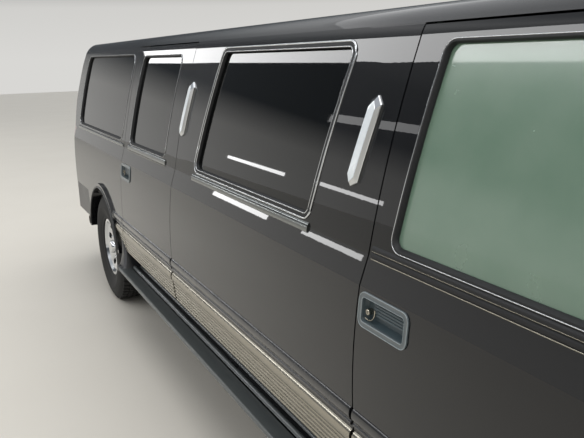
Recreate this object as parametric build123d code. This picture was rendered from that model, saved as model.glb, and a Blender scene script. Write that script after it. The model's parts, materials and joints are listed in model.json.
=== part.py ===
from build123d import *
import os

# A stretched full-size sport utility vehicle on a ladder frame.
# Millimetres. X points forward, Y to the vehicle's left and Z up. The origin
# is on the ground below the middle of the overall length.

# Driving dimensions: length
STRETCH = 1780.0            # body section let in between the front and rear doors
BASE_WHEELBASE = 3482.0     # the wheelbase before that section was let in
FRONT_OVERHANG = 963.0
REAR_OVERHANG = 1313.0
WHEELBASE = BASE_WHEELBASE + STRETCH
REAR_AXLE = -(WHEELBASE + FRONT_OVERHANG - REAR_OVERHANG) / 2
FRONT_AXLE = REAR_AXLE + WHEELBASE
NOSE = FRONT_AXLE + FRONT_OVERHANG
STERN = REAR_AXLE - REAR_OVERHANG

# Driving dimensions: body section
HALF_WIDTH = 1000.0         # widest point of the doors
SILL_Z = 440.0              # underside of the body
BELT_Z = 1240.0             # top of the shoulder, foot of the windows
ROOF_SIDE_Z = 1872.0        # joint between side frames and roof panel
ROOF_TOP_Z = 1968.0
WALL = 68.0                 # doors and side frames
SHUT_GAP = 6.0              # between a door and its frame
SHUT_SLANT = 0.30           # how far a shut face leans forward per unit inwards
GLASS_DEPTH = 14.0          # from the paint in to the glass
GLASS_THICK = 5.0
GLASS_CLEARANCE = 0.3

# Half widths of the section, from the sill up to the roof, as steps in from the widest
SILL_HALF = HALF_WIDTH - 95
TAIL_HALF = HALF_WIDTH - 258  # half width of the hatch and the pair of lower doors
ROCKER_HALF = HALF_WIDTH - 16
WAIST_HALF = HALF_WIDTH - 22
BELT_HALF = HALF_WIDTH - 48
WINDOW_HALF = HALF_WIDTH - 108
EAVES_HALF = HALF_WIDTH - 186
CANT_HALF = HALF_WIDTH - 218
ROOF_HALF = HALF_WIDTH - 280
ROOF_FALL = 0.0583          # the roof's mean slope from its middle to that line
ROCKER_Z = 530.0
WIDEST_Z = 820.0
WAIST_Z = 1150.0
OUTSIDE = HALF_WIDTH + 400  # clear of everything, for cuts that start outside

# Driving dimensions: wheels
TYRE_RADIUS = 402.0
TYRE_WIDTH = 265.0
RIM_RADIUS = 216.0
RIM_WIDTH = 205.0
WHEEL_INSET = 135.0         # from the widest line of the body to the tyre's middle plane
TRACK = 2 * (HALF_WIDTH - WHEEL_INSET)
HUB_HEIGHT = TYRE_RADIUS
REAR_ARCH_RADIUS = 462.0
FRONT_ARCH_RADIUS = 490.0
FLARE_WIDTH = 34.0
FLARE_PROUD = 16.0
STEER_OFFSET = 80.0         # from the tyre's middle plane in to the kingpin

# Places along the body
TAIL = REAR_AXLE - 1178.0
REAR_DOOR_BACK = REAR_AXLE + 640.0
REAR_DOOR_FRONT = REAR_AXLE + 1700.0
FRONT_DOOR_BACK = REAR_DOOR_FRONT + STRETCH
FRONT_DOOR_FRONT = FRONT_AXLE - 600.0
SCREEN_FOOT = FRONT_AXLE - 450.0
COWL_Z = BELT_Z + 22         # foot of the windscreen
SCREEN_SLOPE = 0.775        # backward run of the windscreen per unit of height
PILLAR_WIDTH = 150.0        # along X, from the windscreen to the front door
TAIL_BOW = 14.0
TAIL_CORNER = 215.0
HOOD_BACK = FRONT_AXLE - 385.0
HOOD_HALF = HALF_WIDTH - 188
CLIP_FRONT = FRONT_AXLE + 862.0
DOOR_SILL_Z = 500.0
DOOR_TOP_Z = ROOF_SIDE_Z - SHUT_GAP


def mirrored(shape):
    """The same shape on the other side of the vehicle, solid by solid."""
    solids = [mirror(solid, about=Plane.XZ) for solid in shape.solids()]
    return solids[0] if len(solids) == 1 else Compound(children=solids)


def block(x0, x1, y0, y1, z0, z1):
    """A box between the given corners."""
    return Pos((x0 + x1) / 2, (y0 + y1) / 2, (z0 + z1) / 2) * Box(
        abs(x1 - x0), abs(y1 - y0), abs(z1 - z0)
    )


def side_prism(points, y0=-OUTSIDE, y1=OUTSIDE):
    """A prism across the vehicle from an outline of (x, z) points."""
    outline = make_face(Polyline(*[(x, z) for x, z in points], close=True))
    # Plane.XZ looks along +Y to -Y, so a positive extrusion runs to -Y.
    return extrude(Plane((0, y1, 0), x_dir=(1, 0, 0), z_dir=(0, -1, 0)) * outline, y1 - y0)


def cylinder_y(x, z, radius, y0, y1):
    """A cylinder across the vehicle."""
    return Pos(x, (y0 + y1) / 2, z) * Rot(90, 0, 0) * Cylinder(radius, abs(y1 - y0))


def tube_x(radius, x0, x1, y, z):
    """A round bar along the vehicle."""
    return Pos((x0 + x1) / 2, y, z) * Rot(0, 90, 0) * Cylinder(radius, abs(x1 - x0))


# Body section: rows of (y, z) for one half, as line and arc ends with arc mids
def cabin_section(foot):
    """The closed outline of the cabin across the vehicle, down to height foot."""
    roof_edge = ROOF_TOP_Z - ROOF_FALL * ROOF_HALF
    roof_middle = ROOF_TOP_Z - ROOF_FALL * ROOF_HALF / 4 - 0.1
    right = [
        Line((SILL_HALF, foot), (ROCKER_HALF, ROCKER_Z)),
        ThreePointArc((ROCKER_HALF, ROCKER_Z), (HALF_WIDTH, WIDEST_Z), (WAIST_HALF, WAIST_Z)),
        Line((WAIST_HALF, WAIST_Z), (BELT_HALF, BELT_Z)),
        ThreePointArc(
            (BELT_HALF, BELT_Z), (WINDOW_HALF, BELT_Z + 305), (EAVES_HALF, ROOF_SIDE_Z - 36)
        ),
        ThreePointArc(
            (EAVES_HALF, ROOF_SIDE_Z - 36),
            (CANT_HALF, ROOF_SIDE_Z + 21),
            (ROOF_HALF, roof_edge),
        ),
        ThreePointArc((ROOF_HALF, roof_edge), (ROOF_HALF / 2, roof_middle), (0, ROOF_TOP_Z)),
    ]
    left = [mirror(edge, about=Plane.YZ) for edge in right]
    bottom = Line((SILL_HALF, foot), (-SILL_HALF, foot))
    return make_face(right + left + [bottom])


def cabin_side(inset):
    """The cabin's outline from the side, moved in by inset."""
    points = [
        (TAIL + 8, SILL_Z - 140),
        (TAIL, BELT_Z),
        (TAIL + 78, ROOF_TOP_Z - 208),
        (TAIL + 215, ROOF_TOP_Z + 72),
        (SCREEN_FOOT - SCREEN_SLOPE * (ROOF_TOP_Z + 72 - COWL_Z), ROOF_TOP_Z + 72),
        (SCREEN_FOOT, COWL_Z),
        (SCREEN_FOOT, SILL_Z - 140),
    ]
    face = make_face(Polyline(*points, close=True))
    return offset(face, -inset, kind=Kind.INTERSECTION) if inset else face


def cabin_plan(inset):
    """The cabin's outline from above, with round corners and a bowed tail."""
    y = HALF_WIDTH + 5 - inset
    tail = TAIL + inset
    front = SCREEN_FOOT + 10
    edges = [
        Line((front, y), (tail, y)),
        ThreePointArc((tail, y), (tail - TAIL_BOW, 0), (tail, -y)),
        Line((tail, -y), (front, -y)),
        Line((front, -y), (front, y)),
    ]
    face = make_face(edges)
    corners = face.vertices().sort_by(Axis.X)[:2]
    return fillet(corners, TAIL_CORNER - inset)


def cabin_solid(inset):
    """The cabin's outer form moved in by inset all round."""
    across = cabin_section(SILL_Z if not inset else SILL_Z - 200)
    if inset:
        across = offset(across, -inset, kind=Kind.INTERSECTION)
    length = SCREEN_FOOT - TAIL + 200
    solid = extrude(Plane((TAIL - 100, 0, 0), x_dir=(0, 1, 0), z_dir=(1, 0, 0)) * across, length)
    side = Plane((0, OUTSIDE, 0), x_dir=(1, 0, 0), z_dir=(0, -1, 0)) * cabin_side(inset)
    solid = solid & extrude(side, 2 * OUTSIDE)
    plan = Plane((0, 0, 200), x_dir=(1, 0, 0), z_dir=(0, 0, 1)) * cabin_plan(inset)
    solid = solid & extrude(plan, 2000)
    return solid


def wall_bar(x0, x1):
    """The right side's wall as a straight bar along X, which the doors are cut from."""
    ring = cabin_section(SILL_Z) - offset(
        cabin_section(SILL_Z - 200), -WALL, kind=Kind.INTERSECTION
    )
    ring = ring & (Pos(-TAIL_HALF - 229, 1100) * Rectangle(458, 1600))
    return extrude(Plane((x0, 0, 0), x_dir=(0, 1, 0), z_dir=(1, 0, 0)) * ring, x1 - x0)


def shut_prism(back, front, z0, z1, grow=0.0):
    """A prism that cuts a door out of the right side, with slanted shut faces.

    The faces lean forward as they run inwards, so that a door on a vertical
    hinge swings clear of the frame behind it.
    """
    y_out, y_in = -HALF_WIDTH - 150, -HALF_WIDTH + 350
    lean = SHUT_SLANT * (y_in + HALF_WIDTH)
    out = SHUT_SLANT * (y_out + HALF_WIDTH)
    outline = Polyline(
        (back - grow + out, y_out),
        (front + grow + out, y_out),
        (front + grow + lean, y_in),
        (back - grow + lean, y_in),
        close=True,
    )
    return extrude(Pos(0, 0, z0 - grow) * make_face(outline), z1 - z0 + 2 * grow)


def front_door_prism(grow=0.0):
    """The front door's cut: a shut prism trimmed along the windscreen pillar."""
    foot_x = SCREEN_FOOT - PILLAR_WIDTH
    rise = 900.0
    keep = side_prism(
        [
            (FRONT_DOOR_BACK - 200, SILL_Z - 140),
            (FRONT_DOOR_FRONT + grow, SILL_Z - 140),
            (FRONT_DOOR_FRONT + grow, COWL_Z),
            (foot_x + grow * 1.3 - SCREEN_SLOPE * rise, COWL_Z + rise),
            (FRONT_DOOR_BACK - 200, COWL_Z + rise),
        ]
    )
    wide = shut_prism(FRONT_DOOR_BACK, FRONT_DOOR_FRONT + 400, DOOR_SILL_Z, DOOR_TOP_Z, grow)
    return wide & keep


def rear_door_prism(grow=0.0):
    """The rear door's cut."""
    return shut_prism(REAR_DOOR_BACK, REAR_DOOR_FRONT, DOOR_SILL_Z, DOOR_TOP_Z, grow)


def window_prism(points, radius, grow=0.0):
    """A window's cut through the right side, with round corners, from (x, z) points."""
    face = make_face(Polyline(*points, close=True))
    face = fillet(face.vertices(), radius)
    if grow:
        face = offset(face, grow, kind=Kind.ARC)
    inner = Plane((0, -HALF_WIDTH + 400, 0), x_dir=(1, 0, 0), z_dir=(0, -1, 0))
    return extrude(inner * face, 600)


WINDOW_FOOT = BELT_Z + 38.0
WINDOW_HEAD = ROOF_SIDE_Z - 50
POST = 108.0                # from the front door's shut line to its window
REAR_POST_BACK = 140.0
REAR_POST_FRONT = 180.0
QUARTER_POST = 70.0
QUARTER_TAIL = 270.0
LEAN = 62.0                 # a window post's forward lean from foot to head
LOUNGE_WINDOW_BACK = 306.0  # from the rear door to the let-in section's window
LOUNGE_WINDOW_FORE = 360.0  # from that window to the front door


def front_window(grow=0.0):
    """The front door's window, its front edge parallel to the windscreen pillar."""
    foot = SCREEN_FOOT - PILLAR_WIDTH - 90
    rise = WINDOW_HEAD - WINDOW_FOOT
    return window_prism(
        [
            (FRONT_DOOR_BACK + POST, WINDOW_FOOT),
            (foot, WINDOW_FOOT),
            (foot - SCREEN_SLOPE * rise, WINDOW_HEAD),
            (FRONT_DOOR_BACK + POST + LEAN, WINDOW_HEAD),
        ],
        34.0,
        grow,
    )


def rear_window(grow=0.0):
    """The rear door's window."""
    return window_prism(
        [
            (REAR_DOOR_BACK + REAR_POST_BACK, WINDOW_FOOT),
            (REAR_DOOR_FRONT - REAR_POST_FRONT, WINDOW_FOOT),
            (REAR_DOOR_FRONT - REAR_POST_FRONT + LEAN, WINDOW_HEAD - 12),
            (REAR_DOOR_BACK + REAR_POST_BACK + LEAN, WINDOW_HEAD - 12),
        ],
        40.0,
        grow,
    )


def stretch_window(grow=0.0):
    """The big window in the let-in section."""
    return window_prism(
        [
            (REAR_DOOR_FRONT + LOUNGE_WINDOW_BACK, WINDOW_FOOT),
            (FRONT_DOOR_BACK - LOUNGE_WINDOW_FORE, WINDOW_FOOT),
            (FRONT_DOOR_BACK - LOUNGE_WINDOW_FORE + 112, WINDOW_HEAD),
            (REAR_DOOR_FRONT + LOUNGE_WINDOW_BACK + 150, WINDOW_HEAD),
        ],
        34.0,
        grow,
    )


def quarter_window(grow=0.0):
    """The window behind the rear door."""
    return window_prism(
        [
            (TAIL + QUARTER_TAIL, WINDOW_FOOT),
            (REAR_DOOR_BACK - QUARTER_POST, WINDOW_FOOT),
            (REAR_DOOR_BACK - QUARTER_POST + LEAN, WINDOW_HEAD),
            (TAIL + QUARTER_TAIL + 60, WINDOW_HEAD),
        ],
        60.0,
        grow,
    )


# Cabin shell, and the thin layer in which its glass lies
cabin_outer = cabin_solid(0)
cabin_shell = cabin_outer - cabin_solid(WALL)
glass_layer = cabin_solid(GLASS_DEPTH) - cabin_solid(GLASS_DEPTH + GLASS_THICK)
right_half = block(STERN, NOSE, -OUTSIDE, 0, 0, ROOF_TOP_Z + 200)
shell_right = cabin_shell & right_half
glass_right = glass_layer & right_half

parts = {}


def both(name, shape):
    """Adds a right-side piece and its mirror image."""
    parts[name + "_right"] = shape
    parts[name + "_left"] = mirrored(shape)


# Hinge barrels stand on the fixed side, and the moving side is grooved round them
BARREL_RADIUS = 7.0
BARREL_GAP = 0.5


def hinge_barrel_y(x, z, y0, y1, gap=0.0):
    """A hinge barrel across the vehicle, or its groove when gap is given."""
    return cylinder_y(x, z, BARREL_RADIUS + gap, y0 - gap, y1 + gap)


def hinge_barrels_z(x, y, heights, length, gap=0.0):
    """Upright hinge barrels at the given heights, or their grooves when gap is given."""
    return [
        Pos(x, y, z) * Cylinder(BARREL_RADIUS + gap, length + 2 * gap) for z in heights
    ]


# Tail openings: an upper hatch over two side-hung lower doors
HATCH_FOOT_Z = 1128.0
LOWER_FOOT_Z = 776.0
CENTRE_GAP = 10.0
TAIL_DEPTH = 260.0
TAIL_HINGES = (850.0, 1040.0)
BUMPER_TOP_Z = 760.0
BUMPER_FOOT_Z = 520.0
WRAP_FRONT = REAR_AXLE - 545.0   # where the rear bumper's wraps end behind the wheels

# Wheel arches
rear_arch = cylinder_y(REAR_AXLE, HUB_HEIGHT, REAR_ARCH_RADIUS, -OUTSIDE, -HALF_WIDTH + 400)
front_arch = cylinder_y(FRONT_AXLE, HUB_HEIGHT, FRONT_ARCH_RADIUS, -OUTSIDE, -HALF_WIDTH + 500)
FLARE_FOOT_Z = 480.0


def flare(axle, radius, body):
    """A raised lip round a wheel arch, standing out of the body form on the right side."""
    reach = radius + FLARE_WIDTH
    ring = cylinder_y(axle, HUB_HEIGHT, reach, -HALF_WIDTH - FLARE_PROUD, -HALF_WIDTH + 70)
    ring = ring - cylinder_y(axle, HUB_HEIGHT, radius, -OUTSIDE, -HALF_WIDTH + 100)
    return (ring & block(axle - reach, axle + reach, -OUTSIDE, 0, FLARE_FOOT_Z, 1000)) - body


# Side frames: rocker, pillars, let-in section and quarter panel
PILLAR_IN = HALF_WIDTH - 140  # inner face of the front hinge pillar
SCREEN_HALF_FOOT = HALF_WIDTH - 150
SCREEN_HALF_HEAD = HALF_WIDTH - 298
screen_opening = extrude(
    Plane((SCREEN_FOOT - 840, 0, 0), x_dir=(0, 1, 0), z_dir=(1, 0, 0))
    * make_face(
        Polyline(
            (SCREEN_HALF_FOOT, COWL_Z),
            (SCREEN_HALF_HEAD, ROOF_SIDE_Z),
            (-SCREEN_HALF_HEAD, ROOF_SIDE_Z),
            (-SCREEN_HALF_FOOT, COWL_Z),
            close=True,
        )
    ),
    900,
)
hatch_opening = block(
    STERN, TAIL + TAIL_DEPTH, -TAIL_HALF - SHUT_GAP, TAIL_HALF + SHUT_GAP, 300, ROOF_SIDE_Z
)
LAMP_DEPTH = 34.0
TAIL_LAMP_FOOT_Z = 850.0
TAIL_LAMP_HEAD_Z = 1236.0
tail_lamp_cut = block(
    STERN, TAIL + 112, -OUTSIDE, -TAIL_HALF - 26, TAIL_LAMP_FOOT_Z, TAIL_LAMP_HEAD_Z
)
lamp_layer = cabin_outer - cabin_solid(LAMP_DEPTH)
tail_lamp = lamp_layer & tail_lamp_cut

frame_top = ROOF_SIDE_Z - GLASS_CLEARANCE
side = shell_right & block(STERN, FRONT_DOOR_FRONT, -OUTSIDE, 0, 0, frame_top)
pillar = shell_right & side_prism(
    [
        (FRONT_DOOR_FRONT - 20, BELT_Z),
        (SCREEN_FOOT, BELT_Z),
        (SCREEN_FOOT, COWL_Z),
        (SCREEN_FOOT - SCREEN_SLOPE * 640, COWL_Z + 640),
        (FRONT_DOOR_FRONT - 640, COWL_Z + 640),
    ]
)
pillar = pillar & block(STERN, NOSE, -OUTSIDE, -HALF_WIDTH + 400, 0, frame_top)
pillar = pillar - block(STERN, NOSE, -SCREEN_HALF_FOOT, 0, 0, COWL_Z) - screen_opening
DOOR_SWEEP = 74.0           # how far in from the widest line a front door's hinge edge swings
hinge_pillar = block(
    FRONT_DOOR_FRONT + SHUT_GAP,
    SCREEN_FOOT - 26,
    -HALF_WIDTH + DOOR_SWEEP,
    -PILLAR_IN,
    SILL_Z,
    COWL_Z - 10,
)
rocker_end = block(
    FRONT_DOOR_FRONT - 100, SCREEN_FOOT - 26, -PILLAR_IN - 30, -PILLAR_IN, SILL_Z, DOOR_SILL_Z - 10
)
side = side + pillar + hinge_pillar + rocker_end
side = side - front_door_prism(SHUT_GAP) - rear_door_prism(SHUT_GAP)
side = side - stretch_window() - quarter_window() - rear_arch - hatch_opening - screen_opening
side = side - block(STERN, WRAP_FRONT + SHUT_GAP, -OUTSIDE, 0, 0, BUMPER_TOP_Z + SHUT_GAP)
pillar_head = SCREEN_FOOT - PILLAR_WIDTH - SCREEN_SLOPE * (ROOF_SIDE_Z - COWL_Z)
side = side - block(TAIL + TAIL_DEPTH, pillar_head - 10, -TAIL_HALF, 0, 1700, 1900)
side = side - tail_lamp_cut + (cabin_solid(LAMP_DEPTH) & tail_lamp_cut & cabin_shell)
side = side + flare(REAR_AXLE, REAR_ARCH_RADIUS, cabin_outer)
for barrel in hinge_barrels_z(TAIL, -TAIL_HALF, TAIL_HINGES, 70):
    side = side + barrel
both("body_side", side)
both("tail_lamp", tail_lamp)
roof = cabin_shell & block(STERN, NOSE, -OUTSIDE, OUTSIDE, ROOF_SIDE_Z, ROOF_TOP_Z + 100)

# Fixed glass
slit = -GLASS_CLEARANCE
both("lounge_glass", glass_right & stretch_window(slit))
both("quarter_glass", glass_right & quarter_window(slit))
screen_layer = glass_layer & block(
    FRONT_DOOR_BACK, NOSE, -OUTSIDE, OUTSIDE, COWL_Z + 2, ROOF_SIDE_Z - GLASS_CLEARANCE
)
parts["windscreen"] = screen_layer & screen_opening

# Doors
HANDLE_Z = 1090.0
HANDLE_LENGTH = 208.0
HANDLE_HEIGHT = 84.0
HANDLE_INSET = 24.0         # from the shut line to the handle's pocket
POCKET_DEPTH = 26.0


def handle_pocket(back):
    """The recess behind a door's pull, on the right side."""
    return block(
        back + HANDLE_INSET,
        back + HANDLE_INSET + HANDLE_LENGTH,
        -OUTSIDE,
        -HALF_WIDTH + POCKET_DEPTH + 12,
        HANDLE_Z - HANDLE_HEIGHT / 2,
        HANDLE_Z + HANDLE_HEIGHT / 2,
    )


door_wall = wall_bar(REAR_DOOR_BACK - 200, FRONT_DOOR_FRONT + 200)
front_door = (door_wall & front_door_prism()) - front_window()
both("front_door", front_door - handle_pocket(FRONT_DOOR_BACK))
rear_door = (door_wall & rear_door_prism()) - rear_window()
both("rear_door", rear_door - handle_pocket(REAR_DOOR_BACK))
both("front_door_glass", glass_right & front_window(slit))
both("rear_door_glass", glass_right & rear_window(slit))

# Door mirrors: a housing on a short arm from the foot of the window's front corner
MIRROR_IN = HALF_WIDTH + 50
MIRROR_OUT = MIRROR_IN + 182
mirror_arm = block(
    FRONT_DOOR_FRONT - 82,
    FRONT_DOOR_FRONT - 30,
    -MIRROR_IN - 25,
    -HALF_WIDTH + 100,
    BELT_Z + 10,
    BELT_Z + 36,
)
mirror_head = block(
    FRONT_DOOR_FRONT - 122, FRONT_DOOR_FRONT - 16, -MIRROR_OUT, -MIRROR_IN, BELT_Z + 4, BELT_Z + 260
)
mirror_head = fillet(mirror_head.edges(), 30)
both("door_mirror", (mirror_arm - cabin_outer) + mirror_head)

# Tail doors
hatch_zone = block(
    STERN, TAIL + TAIL_DEPTH, -TAIL_HALF, TAIL_HALF, HATCH_FOOT_Z, ROOF_SIDE_Z - SHUT_GAP
)
HATCH_PANE_FOOT = TAIL_HALF - 102
HATCH_PANE_HEAD = TAIL_HALF - 152
hatch_window_face = make_face(
    Polyline(
        (-HATCH_PANE_FOOT, HATCH_FOOT_Z + 84),
        (HATCH_PANE_FOOT, HATCH_FOOT_Z + 84),
        (HATCH_PANE_HEAD, ROOF_SIDE_Z - 72),
        (-HATCH_PANE_HEAD, ROOF_SIDE_Z - 72),
        close=True,
    )
)
hatch_window_face = fillet(hatch_window_face.vertices(), 45)


def hatch_window(grow=0.0):
    """The cut of the hatch's pane, along X."""
    face = offset(hatch_window_face, grow, kind=Kind.ARC) if grow else hatch_window_face
    return extrude(Plane((STERN, 0, 0), x_dir=(0, 1, 0), z_dir=(1, 0, 0)) * face, 400)


hatch_head = block(TAIL + 200, TAIL + TAIL_DEPTH, -TAIL_HALF, TAIL_HALF, 1800, ROOF_SIDE_Z)
hatch = (cabin_shell & hatch_zone) - hatch_window() - hatch_head
# The hatch hangs from two barrels on leaves under the roof's rear edge.
HATCH_HINGE_X = TAIL + 129.5
HATCH_HINGE_Z = ROOF_SIDE_Z - SHUT_GAP + 0.5
HATCH_HINGE_Y = 350.0
for y in (-HATCH_HINGE_Y, HATCH_HINGE_Y):
    leaf_foot = HATCH_HINGE_Z + 1.5
    leaf = block(HATCH_HINGE_X, HATCH_HINGE_X + 30, y - 45, y + 45, leaf_foot, ROOF_SIDE_Z + 2)
    roof = roof + leaf + hinge_barrel_y(HATCH_HINGE_X, HATCH_HINGE_Z, y - 45, y + 45)
    hatch = hatch - hinge_barrel_y(HATCH_HINGE_X, HATCH_HINGE_Z, y - 45, y + 45, BARREL_GAP)
parts["roof"] = roof
parts["hatch"] = hatch
parts["hatch_glass"] = glass_layer & hatch_window(slit)
lower_zone = block(
    STERN,
    TAIL + TAIL_DEPTH,
    -TAIL_HALF,
    -CENTRE_GAP / 2,
    LOWER_FOOT_Z,
    HATCH_FOOT_Z - SHUT_GAP,
)
tail_door = cabin_shell & lower_zone
for groove in hinge_barrels_z(TAIL, -TAIL_HALF, TAIL_HINGES, 70, BARREL_GAP):
    tail_door = tail_door - groove
both("tail_door", tail_door)

# Front clip: a tapering form whose shell makes the fenders and the hood
CLIP_BACK = FRONT_DOOR_FRONT + SHUT_GAP
FRONT_BUMPER_TOP_Z = 800.0
FENDER_WALL = 50.0
HOOD_WALL = 42.0
HOOD_GAP = 6.0
CLIP_FOOT_BAND = 700.0      # rows below this run on downwards in an inset section
CLIP_TOP_BAND = 1060.0      # rows above this come down by the inset
clip_rear = [
    (SILL_HALF, SILL_Z),
    (ROCKER_HALF, ROCKER_Z),
    (HALF_WIDTH, WIDEST_Z),
    (WAIST_HALF, WAIST_Z),
    (HALF_WIDTH - 43, BELT_Z - 32),
    (HALF_WIDTH - 100, BELT_Z + 3),
    (HALF_WIDTH - 540, BELT_Z + 40),
    (0, BELT_Z + 52),
]
clip_fore = [
    (HALF_WIDTH - 120, SILL_Z + 40),
    (HALF_WIDTH - 60, ROCKER_Z + 50),
    (HALF_WIDTH - 38, WIDEST_Z + 10),
    (HALF_WIDTH - 56, WAIST_Z - 100),
    (HALF_WIDTH - 78, BELT_Z - 140),
    (HALF_WIDTH - 140, BELT_Z - 108),
    (HALF_WIDTH - 570, BELT_Z - 70),
    (0, BELT_Z - 56),
]


def clip_section(x, rows, inset):
    """One cross-section of the front clip at x, moved in by inset."""
    p = []
    for y, z in rows:
        drop = inset
        if inset and z < CLIP_FOOT_BAND:
            drop = 300
        elif z < CLIP_TOP_BAND:
            drop = 0
        p.append((max(y - inset, 0), z - drop))
    right = [
        Line(p[0], p[1]),
        ThreePointArc(p[1], p[2], p[3]),
        ThreePointArc(p[3], p[4], p[5]),
        ThreePointArc(p[5], p[6], p[7]),
    ]
    left = [mirror(edge, about=Plane.YZ) for edge in right]
    face = make_face(right + left + [Line(p[0], (-p[0][0], p[0][1]))])
    return Plane((x, 0, 0), x_dir=(0, 1, 0), z_dir=(1, 0, 0)) * face


def clip_solid(inset):
    """The front clip's form moved in by inset at the sides, top and front."""
    form = loft(
        [clip_section(CLIP_BACK, clip_rear, inset), clip_section(CLIP_FRONT, clip_fore, inset)],
        ruled=True,
    )
    y = HALF_WIDTH + 5 - inset
    front = CLIP_FRONT - 40 - inset
    edges = [
        Line((CLIP_BACK - 10, -y), (front, -y)),
        ThreePointArc((front, -y), (front + 40, 0), (front, y)),
        Line((front, y), (CLIP_BACK - 10, y)),
        Line((CLIP_BACK - 10, y), (CLIP_BACK - 10, -y)),
    ]
    face = make_face(edges)
    corners = face.vertices().sort_by(Axis.X)[-2:]
    face = fillet(corners, 190 - inset)
    return form & extrude(Pos(0, 0, 100) * face, 1400)


clip_outer = clip_solid(0)
fender_shell = clip_outer - clip_solid(FENDER_WALL)
HOOD_FOOT_Z = 1098.0
LAMP_TOP_Z = HOOD_FOOT_Z - HOOD_GAP
LAMP_FOOT_Z = 868.0
GRILLE_HALF = 434.0
hood_zone = block(HOOD_BACK, NOSE, -HOOD_HALF, HOOD_HALF, HOOD_FOOT_Z, 1400)
HOOD_HINGE_Z = BELT_Z + 38
hood = (clip_outer - clip_solid(HOOD_WALL)) & hood_zone
for y in (-150, 150):
    hood = hood - hinge_barrel_y(HOOD_BACK, HOOD_HINGE_Z, y - 45, y + 45, BARREL_GAP)
parts["hood"] = hood

fender = fender_shell & block(CLIP_BACK, NOSE, -OUTSIDE, -HOOD_HALF - HOOD_GAP, 0, 1400)
fender = fender - block(0, SCREEN_FOOT - 20, -HALF_WIDTH + 53, 0, 0, 1400)
fender = fender - block(0, SCREEN_FOOT + 4, -OUTSIDE, 0, BELT_Z - 6, 1400)
fender = fender - front_arch
fender = fender - block(
    FRONT_AXLE + FRONT_ARCH_RADIUS, NOSE, -OUTSIDE, 0, 0, FRONT_BUMPER_TOP_Z + SHUT_GAP
)
head_lamp_cut = block(
    FRONT_AXLE + 720, NOSE, -OUTSIDE, -GRILLE_HALF - HOOD_GAP, LAMP_FOOT_Z, LAMP_TOP_Z
)
fender = fender - head_lamp_cut
fender = fender + flare(FRONT_AXLE, FRONT_ARCH_RADIUS, clip_outer)
both("fender", fender)
lamp_zone = block(0, NOSE, -OUTSIDE, 0, LAMP_FOOT_Z + 4, LAMP_TOP_Z)
both("headlamp", fender_shell & head_lamp_cut & lamp_zone)

# Grille: a chromed frame with cross bars, and a lower strip under the lamps
GRILLE_FOOT_Z = FRONT_BUMPER_TOP_Z + SHUT_GAP
grille_zone = block(0, NOSE, -GRILLE_HALF, GRILLE_HALF, GRILLE_FOOT_Z, LAMP_TOP_Z)
lower_zone_front = block(0, NOSE, -HOOD_HALF, HOOD_HALF, GRILLE_FOOT_Z, LAMP_FOOT_Z - 2)
front_layer = fender_shell & block(FRONT_AXLE + 700, NOSE, -OUTSIDE, OUTSIDE, 0, 1400)
grille = front_layer & grille_zone
grille = grille - block(
    0, NOSE, -GRILLE_HALF + 46, GRILLE_HALF - 46, GRILLE_FOOT_Z + 60, LAMP_TOP_Z - 44
)
bars = [
    front_layer & block(0, CLIP_FRONT - 14, -GRILLE_HALF + 20, GRILLE_HALF - 20, z - 13, z + 13)
    for z in (912.0, 960.0, 1008.0)
]
for bar in bars:
    grille = grille + bar
parts["grille"] = grille + (front_layer & lower_zone_front)


# Bumpers
def bumper_plan(end, tip, half, corner, inset):
    """A U-shaped bumper's outline from above, open toward the vehicle."""
    sign = 1 if tip > end else -1
    y = half - inset
    nose = tip - sign * inset
    edges = [
        Line((end, -y), (nose - sign * 46, -y)),
        ThreePointArc((nose - sign * 46, -y), (nose, 0), (nose - sign * 46, y)),
        Line((nose - sign * 46, y), (end, y)),
        Line((end, y), (end, -y)),
    ]
    face = make_face(edges)
    ordered = face.vertices().sort_by(Axis.X)
    corners = ordered[-2:] if sign > 0 else ordered[:2]
    return fillet(corners, corner - inset)


def bumper(end, tip, half, corner, wall, z0, z1):
    """A bumper bar that wraps round both corners."""
    outer = extrude(Pos(0, 0, z0) * bumper_plan(end, tip, half, corner, 0), z1 - z0)
    inner = extrude(Pos(0, 0, z0 - 5) * bumper_plan(end, tip, half, corner, wall), z1 - z0 + 10)
    inner = inner + block(end - 1, end + 1, -half + wall, half - wall, z0, z1)
    return outer - inner


BUMPER_WALL = 62.0
BUMPER_HALF = HALF_WIDTH - 15
PLATE_HOLE_X = 177.8
PLATE_HOLE_Z = 120.65
PLATE_HOLE_R = 3.5
PLATE_Z = 640.0
plate_holes = [
    Pos(x, y, PLATE_Z + z) * Rot(0, 90, 0) * Cylinder(PLATE_HOLE_R, 300)
    for x in (NOSE, STERN)
    for y in (-PLATE_HOLE_X / 2, PLATE_HOLE_X / 2)
    for z in (-PLATE_HOLE_Z / 2, PLATE_HOLE_Z / 2)
]
front_bumper = bumper(
    FRONT_AXLE + 530, NOSE, BUMPER_HALF, 240, BUMPER_WALL, BUMPER_FOOT_Z, FRONT_BUMPER_TOP_Z
)
rear_bumper = bumper(WRAP_FRONT, STERN, BUMPER_HALF, 200, BUMPER_WALL, BUMPER_FOOT_Z, BUMPER_TOP_Z)
step_pad = block(STERN + 40, TAIL - 16, -620, 620, BUMPER_TOP_Z - 26, BUMPER_TOP_Z)
rear_bumper = rear_bumper + step_pad
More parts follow.
